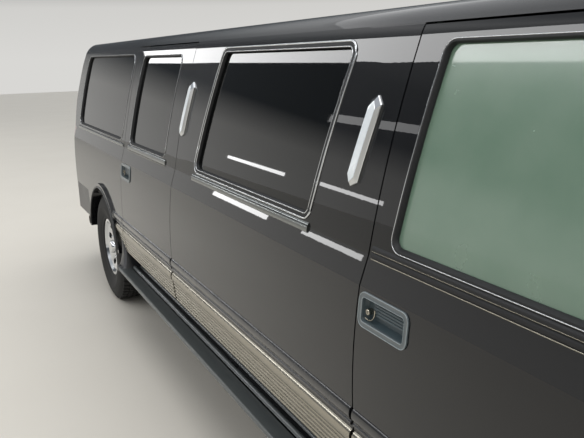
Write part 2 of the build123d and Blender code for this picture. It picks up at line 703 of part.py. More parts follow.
# Air slots through the front bumper, either side of the plate
SLOT_LENGTH = 300.0
SLOT_HEIGHT = 46.0
SLOT_Y = 390.0
for y in (-SLOT_Y, SLOT_Y):
    slot_face = Pos(y, PLATE_Z - 50) * SlotOverall(SLOT_LENGTH, SLOT_HEIGHT)
    front_bumper = front_bumper - extrude(
        Plane((NOSE - 160, 0, 0), x_dir=(0, 1, 0), z_dir=(1, 0, 0)) * slot_face, 200
    )
for hole in plate_holes:
    front_bumper = front_bumper - hole
    rear_bumper = rear_bumper - hole
parts["front_bumper"] = front_bumper
parts["rear_bumper"] = rear_bumper

# Ladder frame
RAIL_IN = 370.0
RAIL_OUT = 440.0
RAIL_FOOT_Z = 482.0
RAIL_TOP_Z = 558.0
RAIL_WALL = 8.0
rail_back = STERN + BUMPER_WALL
rail_fore = NOSE - BUMPER_WALL


def rail(side_sign):
    """One side rail, a channel open toward the middle."""
    y_out, y_in = side_sign * RAIL_OUT, side_sign * RAIL_IN
    bar = block(rail_back, rail_fore, y_out, y_in, RAIL_FOOT_Z, RAIL_TOP_Z)
    web = side_sign * RAIL_WALL
    return bar - block(
        rail_back,
        rail_fore,
        y_out - web,
        y_in - web,
        RAIL_FOOT_Z + RAIL_WALL,
        RAIL_TOP_Z - RAIL_WALL,
    )


frame_rails = rail(1) + rail(-1)
cross_places = [
    REAR_AXLE - 960,
    REAR_AXLE + 700,
    REAR_AXLE + 1700,
    REAR_AXLE + 2800,
    FRONT_AXLE - 1200,
    FRONT_AXLE + 720,
]
for x in cross_places:
    frame_rails = frame_rails + block(
        x - 45, x + 45, -RAIL_OUT + 4, RAIL_OUT - 4, RAIL_TOP_Z - 40, RAIL_TOP_Z
    )
parts["frame_rails"] = frame_rails - front_bumper - rear_bumper

# Floor, firewall, wheel housings and cowl, with the hood's hinge barrels
FLOOR_FOOT_Z = RAIL_TOP_Z + GLASS_CLEARANCE
FLOOR_TOP_Z = 600.0
TUB_OUTER = REAR_ARCH_RADIUS + 20
TUB_IN = HALF_WIDTH - 310
inside = cabin_solid(WALL + GLASS_CLEARANCE)
floor_back = STERN + 190
floor_fore = SCREEN_FOOT - 66
FIREWALL_BACK = SCREEN_FOOT - 72
floor = inside & block(floor_back, floor_fore, -OUTSIDE, OUTSIDE, FLOOR_FOOT_Z, FLOOR_TOP_Z)
# The rear doors' hinge edges swing in by more than the wall, so the floor is notched there.
FLOOR_NOTCH = 92.0
for sign in (1, -1):
    side_in, side_out = sign * (PILLAR_IN - GLASS_CLEARANCE), sign * OUTSIDE
    floor = floor - block(FRONT_DOOR_FRONT, NOSE, side_in, side_out, SILL_Z, 700)
    floor = floor - block(
        REAR_DOOR_FRONT - 24,
        REAR_DOOR_FRONT + FLOOR_NOTCH,
        sign * (HALF_WIDTH - FLOOR_NOTCH),
        side_out,
        SILL_Z,
        700,
    )
for sign in (1, -1):
    well = cylinder_y(
        REAR_AXLE, HUB_HEIGHT, REAR_ARCH_RADIUS + 6, sign * (TUB_IN + 12), sign * OUTSIDE
    )
    floor = floor - well
    tub = cylinder_y(REAR_AXLE, HUB_HEIGHT, TUB_OUTER, sign * TUB_IN, sign * OUTSIDE)
    tub = (tub - well) & inside & block(STERN, NOSE, -OUTSIDE, OUTSIDE, FLOOR_FOOT_Z, 1000)
    floor = floor + tub
firewall_half = PILLAR_IN - GLASS_CLEARANCE
cowl_half = SCREEN_HALF_FOOT - 2
firewall = block(
    FIREWALL_BACK, SCREEN_FOOT - 28, -firewall_half, firewall_half, FLOOR_FOOT_Z, COWL_Z - 48
)
firewall = firewall + block(
    FIREWALL_BACK, SCREEN_FOOT - 28, -cowl_half, cowl_half, COWL_Z - 62, COWL_Z - GLASS_CLEARANCE
)
cowl = block(
    FIREWALL_BACK, HOOD_BACK - HOOD_GAP, -cowl_half, cowl_half, COWL_Z - 48, COWL_Z - 26
)
cowl = cowl - block(SCREEN_FOOT - 22, NOSE, -OUTSIDE, -HOOD_HALF, 1000, 1400)
cowl = cowl - block(SCREEN_FOOT - 22, NOSE, HOOD_HALF, OUTSIDE, 1000, 1400)
APRON_Z = 930.0
HOUSING_IN = 500.0
under_clip = clip_solid(FENDER_WALL + GLASS_CLEARANCE)
underbody = floor + firewall + cowl
for sign in (1, -1):
    wall = block(
        SCREEN_FOOT - 28,
        FRONT_AXLE + 640,
        sign * HOUSING_IN,
        sign * (HOUSING_IN + 12),
        FLOOR_FOOT_Z,
        APRON_Z,
    )
    apron = under_clip & block(
        SCREEN_FOOT - 14, FRONT_AXLE + 640, sign * HOUSING_IN, sign * OUTSIDE, APRON_Z, APRON_Z + 14
    )
    underbody = underbody + wall + apron
panel_half = HALF_WIDTH - 210
radiator_panel = block(
    FRONT_AXLE + 640, FRONT_AXLE + 676, -panel_half, panel_half, FLOOR_FOOT_Z, LAMP_TOP_Z - 10
)
radiator_panel = radiator_panel - block(0, NOSE, -400, 400, 640, 1050)
for sign in (1, -1):
    stay_out = sign * (panel_half - 50)
    stay = block(FRONT_AXLE + 660, NOSE, stay_out - sign * 40, stay_out, 820, 850)
    radiator_panel = radiator_panel + (stay & under_clip)
for y in (-150, 150):
    bracket = block(HOOD_BACK - 17, HOOD_BACK - 5, y - 45, y + 45, COWL_Z - 37, HOOD_HINGE_Z)
    underbody = underbody + bracket + hinge_barrel_y(HOOD_BACK, HOOD_HINGE_Z, y - 45, y + 45)
parts["underbody"] = underbody + radiator_panel

# Running boards
BOARD_OUT = HALF_WIDTH + 56
BOARD_TOP_Z = SILL_Z - 16
BOARD_FOOT_Z = BOARD_TOP_Z - 26
board_profile = make_face(
    Polyline(
        (-BOARD_OUT + 6, BOARD_FOOT_Z),
        (-BOARD_OUT, BOARD_FOOT_Z + 14),
        (-BOARD_OUT + 6, BOARD_TOP_Z),
        (-SILL_HALF + 5, BOARD_TOP_Z),
        (-SILL_HALF + 13, SILL_Z - GLASS_CLEARANCE),
        (-SILL_HALF + 55, SILL_Z - GLASS_CLEARANCE),
        (-SILL_HALF + 55, BOARD_TOP_Z - 6),
        (-SILL_HALF + 25, BOARD_FOOT_Z),
        close=True,
    )
)
BOARD_BACK = REAR_AXLE + 585.0
BOARD_FORE = FRONT_AXLE - 580.0
board = extrude(
    Plane((BOARD_BACK, 0, 0), x_dir=(0, 1, 0), z_dir=(1, 0, 0)) * board_profile,
    BOARD_FORE - BOARD_BACK,
)
both("running_board", board)

# Pillar lamps on the let-in section
LAMP_BAR_HEIGHT = 290.0
LAMP_BAR_WIDTH = 54.0
LAMP_BAR_PROUD = 26.0
LAMP_BAR_Z = 1560.0


def lamp_bar(x):
    """A tall bar with pointed ends, seated on the right side's paint."""
    h, w = LAMP_BAR_HEIGHT / 2, LAMP_BAR_WIDTH / 2
    tip = 40.0
    face = make_face(
        Polyline(
            (0, -h), (w, tip - h), (w, h - tip), (0, h), (-w, h - tip), (-w, tip - h), close=True
        )
    )
    plane = Plane((x, -WINDOW_HALF + 52, LAMP_BAR_Z), x_dir=(0.978, 0, -0.208), z_dir=(0, -1, 0))
    bar = extrude(plane * face, 120)
    return (bar & cabin_solid(-LAMP_BAR_PROUD)) - cabin_outer


lamp_bars = [lamp_bar(FRONT_DOOR_BACK - 96), lamp_bar(REAR_DOOR_FRONT + 104)]
both("pillar_lamps", Compound(children=lamp_bars))

# Wheels
RUNNING_GAP = 0.5
HUB_RADIUS = 54.0
RIM_BORE = HUB_RADIUS + RUNNING_GAP
half_rim = RIM_WIDTH / 2
tyre_section = [
    (RIM_RADIUS, -half_rim),
    (RIM_RADIUS + 30, -half_rim - 12),
    (310, -TYRE_WIDTH / 2),
    (372, -TYRE_WIDTH / 2 + 14),
    (TYRE_RADIUS - 6, -104),
    (TYRE_RADIUS, -84),
    (TYRE_RADIUS, 84),
    (TYRE_RADIUS - 6, 104),
    (372, TYRE_WIDTH / 2 - 14),
    (310, TYRE_WIDTH / 2),
    (RIM_RADIUS + 30, half_rim + 12),
    (RIM_RADIUS, half_rim),
]
# A wheel's outer face looks to -Y before it is placed.
tyre = revolve(Plane.XY * make_face(Polyline(*tyre_section, close=True)), axis=Axis.Y)
r = RIM_RADIUS - GLASS_CLEARANCE
rim_section = [
    (RIM_BORE, -52),
    (92, -58),
    (120, -62),
    (180, -84),
    (196, -half_rim),
    (r, -half_rim),
    (r, half_rim),
    (r - 14, half_rim),
    (r - 18, -40),
    (170, -54),
    (120, -36),
    (RIM_BORE, -28),
]
rim = revolve(Plane.XY * make_face(Polyline(*rim_section, close=True)), axis=Axis.Y)
WHEEL_WINDOWS = 8
WINDOW_CIRCLE = 146.0
LUG_CIRCLE = 82.5
LUG_HOLE_R = 8.0
window_face = Pos(WINDOW_CIRCLE, 0) * RectangleRounded(36, 50, 14)
wheel_window = extrude(Plane((0, 0, 0), x_dir=(1, 0, 0), z_dir=(0, -1, 0)) * window_face, 120)
lug_hole = Pos(LUG_CIRCLE, -60, 0) * Rot(90, 0, 0) * Cylinder(LUG_HOLE_R, 120)
for index in range(WHEEL_WINDOWS):
    turn = 360 / WHEEL_WINDOWS * index
    rim = rim - Rot(0, turn + 180 / WHEEL_WINDOWS, 0) * wheel_window
    rim = rim - Rot(0, turn, 0) * lug_hole

wheel_places = {
    "front_right": (FRONT_AXLE, -1),
    "front_left": (FRONT_AXLE, 1),
    "rear_right": (REAR_AXLE, -1),
    "rear_left": (REAR_AXLE, 1),
}
for place, (x, sign) in wheel_places.items():
    for name, shape in (("tyre", tyre), ("rim", rim)):
        turned = shape if sign < 0 else mirrored(shape)
        parts[name + "_" + place] = Pos(x, sign * TRACK / 2, HUB_HEIGHT) * turned

# Axles and knuckles
TUBE_RADIUS = 45.0
DIFF_RADIUS = 132.0
stub_end = TRACK / 2 + 62
KINGPIN = TRACK / 2 - STEER_OFFSET
TUBE_END = TRACK / 2 - 105
rear_axle = cylinder_y(REAR_AXLE, HUB_HEIGHT, TUBE_RADIUS, -TUBE_END, TUBE_END)
rear_axle = rear_axle + Pos(REAR_AXLE, 0, HUB_HEIGHT) * Sphere(DIFF_RADIUS)
rear_axle = rear_axle + tube_x(70, REAR_AXLE, REAR_AXLE + 190, 0, HUB_HEIGHT)
for sign in (1, -1):
    rear_axle = rear_axle + cylinder_y(
        REAR_AXLE, HUB_HEIGHT, HUB_RADIUS, sign * (TUBE_END - 20), sign * stub_end
    )
drive_shaft = tube_x(42, REAR_AXLE + 180, FRONT_AXLE - 1068, 0, HUB_HEIGHT)
parts["rear_axle"] = rear_axle + drive_shaft
SPRING_IN = 447.0
SPRING_OUT = 507.0


LEAF = 8.0
SPRING_RISE = 92.0          # from the middle of the top leaf up to its eyes
LEAF_REACHES = (1.0, 0.86, 0.66, 0.46)
EYE_RADIUS = 20.0


def leaf_spring(axle, sign, reach):
    """A pack of curved leaves under the axle tube, its eyes hung from the rail."""
    top = HUB_HEIGHT - TUBE_RADIUS
    eye_x = reach - EYE_RADIUS
    radius = (eye_x**2 + SPRING_RISE**2) / (2 * SPRING_RISE)
    y_in, y_out = sign * SPRING_IN, sign * SPRING_OUT
    spring = None
    for index, share in enumerate(LEAF_REACHES):
        leaf = cylinder_y(axle, top + radius, radius + (index + 1) * LEAF, y_in, y_out)
        leaf = leaf - cylinder_y(axle, top + radius, radius + index * LEAF, y_in, y_out)
        leaf = leaf & block(
            axle - eye_x * share, axle + eye_x * share, y_in, y_out, top - 100, top + SPRING_RISE + 20
        )
        spring = leaf if spring is None else spring + leaf
    for end in (-1, 1):
        x, z = axle + end * eye_x, top + SPRING_RISE - 4
        eye = cylinder_y(x, z, EYE_RADIUS, y_in, y_out)
        hanger = block(
            x - EYE_RADIUS, x + EYE_RADIUS, sign * RAIL_OUT, y_out, z, RAIL_TOP_Z - 20
        )
        spring = spring + eye + hanger
    seat = block(axle - 60, axle + 60, y_in, y_out, top - 48, top - 3 * LEAF)
    return spring + seat


parts["leaf_springs"] = Compound(
    children=[
        leaf_spring(axle, sign, reach)
        for axle, reach in ((REAR_AXLE, 690.0), (FRONT_AXLE, 590.0))
        for sign in (1, -1)
    ]
)
YOKE_HALF = 46.0
YOKE_WALL = 22.0
PIN_HALF = 106.0            # half the kingpin's length between the yoke's ears
front_axle = cylinder_y(FRONT_AXLE, HUB_HEIGHT, TUBE_RADIUS, -KINGPIN + 66, KINGPIN - 66)
front_axle = front_axle + Pos(FRONT_AXLE, -180, HUB_HEIGHT) * Sphere(DIFF_RADIUS - 14)
for sign in (1, -1):
    yoke_in = sign * (KINGPIN - 76)
    yoke = block(
        FRONT_AXLE - YOKE_HALF,
        FRONT_AXLE + YOKE_HALF,
        yoke_in,
        sign * (KINGPIN - 54),
        HUB_HEIGHT - PIN_HALF - YOKE_WALL,
        HUB_HEIGHT + PIN_HALF + YOKE_WALL,
    )
    for z in (HUB_HEIGHT - PIN_HALF - YOKE_WALL, HUB_HEIGHT + PIN_HALF):
        ear = block(
            FRONT_AXLE - YOKE_HALF, FRONT_AXLE + YOKE_HALF, yoke_in, sign * KINGPIN, z, z + YOKE_WALL
        )
        eye = Pos(FRONT_AXLE, sign * KINGPIN, z + YOKE_WALL / 2) * Cylinder(YOKE_HALF, YOKE_WALL)
        yoke = yoke + ear + eye
    front_axle = front_axle + yoke
    pin = Pos(FRONT_AXLE, sign * KINGPIN, HUB_HEIGHT) * Cylinder(30, 2 * (PIN_HALF - GLASS_CLEARANCE))
    knuckle = pin + cylinder_y(FRONT_AXLE, HUB_HEIGHT, HUB_RADIUS, sign * KINGPIN, sign * stub_end)
    parts["knuckle_right" if sign < 0 else "knuckle_left"] = knuckle
parts["front_axle"] = front_axle

# Engine with its gearbox, exhaust and fuel tank
engine = block(FRONT_AXLE - 400, FRONT_AXLE + 560, -290, 290, 536, 1010)
gearbox = block(FRONT_AXLE - 1060, FRONT_AXLE - 330, -150, 150, 340, RAIL_TOP_Z)
parts["engine"] = fillet(engine.edges(), 12) + fillet(gearbox.edges(), 12)
PIPE_RADIUS = 27.0
PIPE_Y = -255.0
OUTLET_X = REAR_AXLE - 780
PIPE_Z = 484.0
SILENCER_RADIUS = 60.0
outlet_z = RAIL_FOOT_Z - PIPE_RADIUS - GLASS_CLEARANCE
OUTLET_END = HALF_WIDTH - 32
route = FilletPolyline(
    (FRONT_AXLE - 500, PIPE_Y, PIPE_Z),
    (OUTLET_X + 400, PIPE_Y, PIPE_Z),
    (OUTLET_X + 240, PIPE_Y, outlet_z),
    (OUTLET_X, PIPE_Y, outlet_z),
    (OUTLET_X, -OUTLET_END + 88, outlet_z),
    radius=100,
)
pipe_face = Plane(route @ 0, z_dir=route % 0) * Circle(PIPE_RADIUS)
exhaust = sweep(pipe_face, path=route)
exhaust = exhaust + tube_x(
    SILENCER_RADIUS, REAR_AXLE + 1900, REAR_AXLE + 2600, PIPE_Y, PIPE_Z - 34
)
outlet = cylinder_y(OUTLET_X, outlet_z, 38, -OUTLET_END + 98, -OUTLET_END)
outlet = outlet - cylinder_y(OUTLET_X, outlet_z, 33, -OUTLET_END + 84, -OUTLET_END - 32)
parts["exhaust"] = exhaust + outlet
tank = fillet(block(REAR_AXLE - 860, REAR_AXLE - 260, -190, 350, 330, 510).edges(), 28)
for x in (REAR_AXLE - 720, REAR_AXLE - 400):
    strap = block(x - 25, x + 25, 330, RAIL_OUT - 10, 462, RAIL_FOOT_Z - GLASS_CLEARANCE)
    tank = tank + strap
parts["fuel_tank"] = tank

# Receiver for a tow bar
RECEIVER_OUT = 31.75
RECEIVER_IN = 25.9
RECEIVER_Z = 462.0
PIN_HOLE_R = 8.0
PIN_X = STERN + 92.0
receiver = block(
    STERN + 24,
    STERN + 420,
    -RECEIVER_OUT,
    RECEIVER_OUT,
    RECEIVER_Z - RECEIVER_OUT,
    RECEIVER_Z + RECEIVER_OUT,
)
receiver = receiver - block(
    STERN, STERN + 300, -RECEIVER_IN, RECEIVER_IN, RECEIVER_Z - RECEIVER_IN, RECEIVER_Z + RECEIVER_IN
)
receiver = receiver - cylinder_y(PIN_X, RECEIVER_Z, PIN_HOLE_R, -100, 100)
receiver_beam = block(STERN + 300, STERN + 360, -RAIL_IN, RAIL_IN, RECEIVER_Z - 28, RECEIVER_Z + 28)
parts["tow_receiver"] = receiver + receiver_beam

# Cabin fittings: soft pieces are plain solids
SEAT_Z = FLOOR_TOP_Z + GLASS_CLEARANCE


def soft(x0, x1, y0, y1, z0, z1, radius=40.0):
    """A plain cushion block with round edges."""
    return fillet(block(x0, x1, y0, y1, z0, z1).edges(), radius)


def front_seat(y0, y1):
    """One front seat on its box base."""
    front, back = SEAT_FRONT, SEAT_FRONT - SEAT_LENGTH
    seat = soft(back, front, y0, y1, 760, 930)
    seat = seat + soft(back - SEAT_BACK_DEPTH, back + 50, y0, y1, 780, 1480, 50)
    seat = seat + soft(back - 90, back + 20, y0 + 130, y1 - 130, 1440, 1640, 40)
    return seat + block(back + 50, front - 50, y0 + 60, y1 - 60, SEAT_Z, 780)


SEAT_FRONT = FRONT_DOOR_FRONT - 396.0
SEAT_LENGTH = 480.0
SEAT_BACK_DEPTH = 110.0     # how far the back stands behind the cushion
SEAT_WIDTH = 530.0
SEAT_OUT = HALF_WIDTH - 260  # outer side of a front seat
right_seat = front_seat(-SEAT_OUT, -SEAT_OUT + SEAT_WIDTH)
parts["front_seats"] = Compound(children=[right_seat, mirrored(right_seat)])

# Lounge seat: a rear bench and a bench along the left side
BENCH_HALF = HALF_WIDTH - 340
BENCH_BACK = REAR_AXLE + 36.0
BENCH_DEPTH = 540.0
SIDE_BENCH_OUT = HALF_WIDTH - 140
SIDE_BENCH_DEPTH = 530.0
side_bench_front = FRONT_DOOR_BACK - 644
bench_front = BENCH_BACK + BENCH_DEPTH
lounge = soft(BENCH_BACK, bench_front, -BENCH_HALF, BENCH_HALF, SEAT_Z, 960)
lounge = lounge + soft(BENCH_BACK - 60, BENCH_BACK + 60, -BENCH_HALF, BENCH_HALF, SEAT_Z, 1420)
lounge = lounge + soft(
    bench_front - 20,
    side_bench_front,
    SIDE_BENCH_OUT - SIDE_BENCH_DEPTH,
    SIDE_BENCH_OUT,
    SEAT_Z,
    960,
)
lounge = lounge + soft(
    REAR_DOOR_FRONT + 116, side_bench_front - 60, SIDE_BENCH_OUT - 100, SIDE_BENCH_OUT + 20, 940, 1230
)
parts["lounge_seat"] = lounge

# Partition behind the front seats, with its window
PARTITION_WALL = 40.0
SEAT_ROOM = 300.0           # from the partition to a front seat's back
PARTITION_BACK = SEAT_FRONT - SEAT_LENGTH - SEAT_BACK_DEPTH - SEAT_ROOM - PARTITION_WALL
PARTITION_PANE = HALF_WIDTH - 440
partition = inside & block(
    PARTITION_BACK, PARTITION_BACK + PARTITION_WALL, -OUTSIDE, OUTSIDE, SEAT_Z, ROOF_SIDE_Z + 18
)
parts["partition"] = partition - block(
    PARTITION_BACK - 50, PARTITION_BACK + 100, -PARTITION_PANE, PARTITION_PANE, 1270, 1700
)

# Dashboard and steering wheel
dash_front = FIREWALL_BACK - GLASS_CLEARANCE
DASH_DEPTH = 244.0
dash = side_prism(
    [
        (FIREWALL_BACK - DASH_DEPTH + 40, 900),
        (FIREWALL_BACK - DASH_DEPTH, 1090),
        (FIREWALL_BACK - DASH_DEPTH + 70, 1190),
        (dash_front, 1225),
        (dash_front, 860),
    ],
    -PILLAR_IN + 2,
    PILLAR_IN - 2,
)
parts["dashboard"] = dash
STEERING_RADIUS = 188.0
STEERING_TILT = -62.0
wheel_place = Pos(FIREWALL_BACK - 349, 400, 1105) * Rot(0, STEERING_TILT, 0)
steering = wheel_place * (
    Torus(STEERING_RADIUS, 15) + Box(2 * STEERING_RADIUS, 34, 14) + Cylinder(52, 34)
)
column = wheel_place * (Pos(0, 0, -120) * Cylinder(24, 240))
parts["steering_wheel"] = (steering + column) - dash

os.makedirs("parts", exist_ok=True)
for name, shape in parts.items():
    export_step(shape, f"parts/{name}.step")
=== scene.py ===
import json
import logging
from collections.abc import Callable, Iterator, Sequence
from contextlib import contextmanager
from dataclasses import dataclass
from enum import Enum
from math import cos, hypot, pi, radians, sin, sqrt, tan

import bpy
from mathutils import Matrix, Vector


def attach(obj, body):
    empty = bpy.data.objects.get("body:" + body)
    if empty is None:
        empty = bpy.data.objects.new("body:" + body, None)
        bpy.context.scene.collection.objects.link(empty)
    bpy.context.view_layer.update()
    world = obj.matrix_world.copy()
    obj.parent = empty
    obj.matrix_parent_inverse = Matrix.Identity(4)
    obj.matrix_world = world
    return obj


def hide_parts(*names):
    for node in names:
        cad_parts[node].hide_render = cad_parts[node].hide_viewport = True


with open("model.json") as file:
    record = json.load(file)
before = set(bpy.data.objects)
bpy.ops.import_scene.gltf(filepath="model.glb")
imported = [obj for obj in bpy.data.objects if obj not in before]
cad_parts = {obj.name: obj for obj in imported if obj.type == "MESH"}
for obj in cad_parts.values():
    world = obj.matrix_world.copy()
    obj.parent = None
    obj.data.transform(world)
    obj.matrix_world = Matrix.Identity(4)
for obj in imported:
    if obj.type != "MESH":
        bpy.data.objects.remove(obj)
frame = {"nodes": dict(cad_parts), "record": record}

log = logging.getLogger("limousine")
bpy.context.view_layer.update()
Point = tuple[float, float, float]
Flat = tuple[float, float]
Flats = tuple[Flat, ...]
Piece = bpy.types.Object


class Side(Enum):
    """A side of the vehicle, and the sign of its Y."""

    RIGHT = -1
    LEFT = 1

    @property
    def word(self) -> str:
        """The side's name as the bodies spell it."""
        return self.name.lower()


# Materials


def linear(hex_colour: str, alpha: float = 1.0) -> tuple[float, float, float, float]:
    """Turns an sRGB hex value to a linear colour.

    Args:
        hex_colour: six hex digits after a hash.
        alpha: the fourth component.

    Returns:
        The linear red, green, blue and alpha.
    """
    parts = [int(hex_colour[i : i + 2], 16) / 255 for i in (1, 3, 5)]
    curve = [c / 12.92 if c <= 0.04045 else ((c + 0.055) / 1.055) ** 2.4 for c in parts]
    return (curve[0], curve[1], curve[2], alpha)


def add_node(
    tree: bpy.types.NodeTree,
    kind: str,
    settings: dict[str, object] | None = None,
    links: dict[str | int, bpy.types.NodeSocket] | None = None,
) -> bpy.types.Node:
    """Adds one node to a tree.

    Args:
        tree: the node tree.
        kind: the node's type name.
        settings: attributes, or input sockets by name, and their values.
        links: input sockets and the output sockets that feed them.

    Returns:
        The new node.
    """
    node = tree.nodes.new(kind)
    for key, value in (settings or {}).items():
        if key in node.inputs:
            node.inputs[key].default_value = value
        else:
            setattr(node, key, value)
    for key, source in (links or {}).items():
        tree.links.new(source, node.inputs[key])
    return node


@dataclass(frozen=True)
class Finish:
    """A finish: what a material is, the slot it fills, how it was made, and its pattern."""

    name: str
    slot: str
    colour: str
    roughness: float
    metallic: float = 0.0
    coat: float = 0.0
    coat_roughness: float = 0.03
    transmission: float = 0.0
    ior: float = 1.5
    emission: float = 0.0
    specular: float = 0.5
    second_colour: str = ""
    patch_mm: float = 300.0
    grain_mm: float = 0.0
    grain_depth_mm: float = 0.0
    rough_spread: float = 0.0
    stretch: Point = (1.0, 1.0, 1.0)

    def make(self) -> bpy.types.Material:
        """Builds the material, or returns the one that is there."""
        found = bpy.data.materials.get(self.name)
        if found:
            return found
        material = bpy.data.materials.new(self.name)
        material.use_nodes = True
        tree = material.node_tree
        shader = tree.nodes["Principled BSDF"]
        constants = {
            "Base Color": linear(self.colour), "Metallic": self.metallic,
            "Roughness": self.roughness, "IOR": self.ior, "Specular IOR Level": self.specular,
            "Transmission Weight": self.transmission, "Coat Weight": self.coat,
            "Coat Roughness": self.coat_roughness,
        }
        if self.emission:
            constants["Emission Color"] = linear(self.colour)
            constants["Emission Strength"] = self.emission
        for socket, value in constants.items():
            shader.inputs[socket].default_value = value
        place = add_node(tree, "ShaderNodeTexCoord").outputs["Object"]
        place = add_node(
            tree, "ShaderNodeMapping", {"Scale": self.stretch}, {"Vector": place}
        ).outputs["Vector"]
        scale = 1000 / self.patch_mm
        patches = add_node(
            tree, "ShaderNodeTexNoise", {"Scale": scale, "Detail": 4.0}, {"Vector": place}
        ).outputs["Fac"]
        if self.second_colour:
            mix = add_node(tree, "ShaderNodeMix", {"data_type": "RGBA"}, {"Factor": patches})
            mix.inputs[6].default_value = linear(self.colour)
            mix.inputs[7].default_value = linear(self.second_colour)
            tree.links.new(mix.outputs[2], shader.inputs["Base Color"])
        if self.rough_spread:
            low = max(self.roughness - self.rough_spread, 0.0)
            high = self.roughness + self.rough_spread
            spread = add_node(
                tree, "ShaderNodeMapRange", {"To Min": low, "To Max": high}, {"Value": patches}
            )
            tree.links.new(spread.outputs["Result"], shader.inputs["Roughness"])
        if self.grain_depth_mm:
            scale = 1000 / self.grain_mm
            grain = add_node(
                tree, "ShaderNodeTexNoise", {"Scale": scale, "Detail": 3.0}, {"Vector": place}
            ).outputs["Fac"]
            depth = self.grain_depth_mm / 1000
            bump = add_node(
                tree, "ShaderNodeBump", {"Distance": depth, "Strength": 1.0}, {"Height": grain}
            )
            tree.links.new(bump.outputs["Normal"], shader.inputs["Normal"])
            if self.coat:
                tree.links.new(bump.outputs["Normal"], shader.inputs["Coat Normal"])
        return material


# Grains that are finer in life are drawn 1.5 to 5 mm wide, so that they show.

# Acrylic enamel in black under clear lacquer: deep, with a faint orange peel that
# is drawn 14 mm wide, a little coarser than it is, so that it shows.
PAINT = Finish(
    "black_enamel_clear_lacquer", "black_paint", "#050608", 0.5, coat=1.0, coat_roughness=0.012,
    specular=0.05, second_colour="#0b0c10", patch_mm=700, grain_mm=14, grain_depth_mm=0.012,
    rough_spread=0.03,
)
# Float glass, deep grey in the body: nearly black from outside.
PRIVACY_GLASS = Finish(
    "privacy_float_glass", "dark_glass", "#0d1213", 0.02, transmission=0.8, ior=1.52,
    rough_spread=0.015, patch_mm=160,
)
# Float glass with iron in it, seen through a film of dust: pale green and cloudy.
DUSTY_GLASS = Finish(
    "dusty_green_float_glass", "clear_glass", "#7c9c86", 0.24, transmission=0.38, ior=1.52,
    coat=1.0, coat_roughness=0.04, second_colour="#93ad99", patch_mm=120, rough_spread=0.1,
)
# Float glass, laminated: clear, with a faint green cast.
CLEAR_GLASS = Finish(
    "laminated_windscreen_glass", "clear_glass", "#b9cfc2", 0.01, transmission=0.93, ior=1.52,
    rough_spread=0.01, patch_mm=200,
)
# Nickel and chrome plate on steel, polished: mirror bright, a few wipe marks.
CHROME = Finish(
    "polished_chrome_plate", "bright_chrome", "#d6d8da", 0.07, metallic=1.0, rough_spread=0.04,
    patch_mm=90,
)
# Acrylic, cast milky white, as a lens over a lamp.
MILKY_LENS = Finish(
    "cast_milky_acrylic", "lamp_lens", "#e6ebee", 0.16, coat=1.0, coat_roughness=0.04,
    emission=0.12, second_colour="#d3dade", patch_mm=50, rough_spread=0.04,
)
# Stainless strip, rolled and buffed: softer shine with drawn lines along it.
STAINLESS = Finish(
    "buffed_stainless_strip", "bright_chrome", "#aaa598", 0.22, metallic=1.0, rough_spread=0.06,
    patch_mm=60, stretch=(0.05, 1.0, 4.0), grain_mm=2.0, grain_depth_mm=0.002,
)
# Stainless, polished dull and drawn to a rounded section: trim under the windows.
DULL_BRIGHT = Finish(
    "drawn_dull_bright_trim", "bright_chrome", "#858887", 0.14, metallic=1.0, rough_spread=0.03,
    patch_mm=200,
)
# Nylon, moulded satin grey: a cloudy, waxy rim round each pull.
PULL_GREY = Finish(
    "moulded_satin_grey_nylon", "trim_plastic", "#4a5256", 0.34, coat=0.6, coat_roughness=0.15,
    second_colour="#5a6366", patch_mm=30, rough_spread=0.06,
)
# The same nylon, glossy, drawn pale along its edges: a painted highlight where the edges catch the
# light.
PULL_EDGE_HIGHLIGHT = Finish(
    "rubbed_grey_nylon_edge", "trim_plastic", "#98a2a4", 0.22, coat=0.8, coat_roughness=0.08,
    second_colour="#7f8a8d", patch_mm=24, rough_spread=0.05,
)
# ABS, moulded smoke grey with a blue cast, inside the pulls.
PULL_BOWL = Finish(
    "moulded_smoke_grey_abs", "black_plastic", "#37444a", 0.34, coat=0.5, coat_roughness=0.1,
    second_colour="#434f53", patch_mm=36, rough_spread=0.05,
)
# PVC over foam, extruded glossy black, for the rub strips.
RUB_BLACK = Finish(
    "extruded_glossy_pvc", "black_plastic", "#0f1012", 0.26, coat=0.7, coat_roughness=0.07,
    second_colour="#17181b", patch_mm=200, rough_spread=0.05,
)
# EPDM, extruded: dull black with a slight bloom.
SEAL_RUBBER = Finish(
    "extruded_seal_rubber", "black_plastic", "#141517", 0.58, rough_spread=0.08, grain_mm=2.0,
    grain_depth_mm=0.03,
)
# Carbon-black tyre rubber, moulded and a little dusty.
TYRE_RUBBER = Finish(
    "moulded_tyre_rubber", "tyre_rubber", "#1a1a1b", 0.78, second_colour="#242321", patch_mm=110,
    rough_spread=0.08, grain_mm=1.5, grain_depth_mm=0.05,
)
# ABS, moulded with a fine leather grain, mid-black.
MOULDED_BLACK = Finish(
    "moulded_black_abs", "black_plastic", "#1b1c1f", 0.42, coat=0.25, coat_roughness=0.2,
    rough_spread=0.07, grain_mm=2.5, grain_depth_mm=0.05,
)
# Polypropylene, moulded rough and black, for the boards' tread; drawn a mid grey, lighter than black,
# as a painted sheen where the light falls on it.
TREAD_PAINTED_SHEEN = Finish(
    "ribbed_polypropylene", "board_rubber", "#454a4b", 0.42, coat=0.5, coat_roughness=0.14,
    second_colour="#525656", patch_mm=110, rough_spread=0.08, grain_mm=3.0, grain_depth_mm=0.04,
)
# Chassis paint over steel, sprayed and road-worn.
CHASSIS_PAINT = Finish(
    "chassis_black_paint", "frame_black", "#161616", 0.5, second_colour="#25211d", patch_mm=160,
    rough_spread=0.12, grain_mm=4.0, grain_depth_mm=0.05,
)
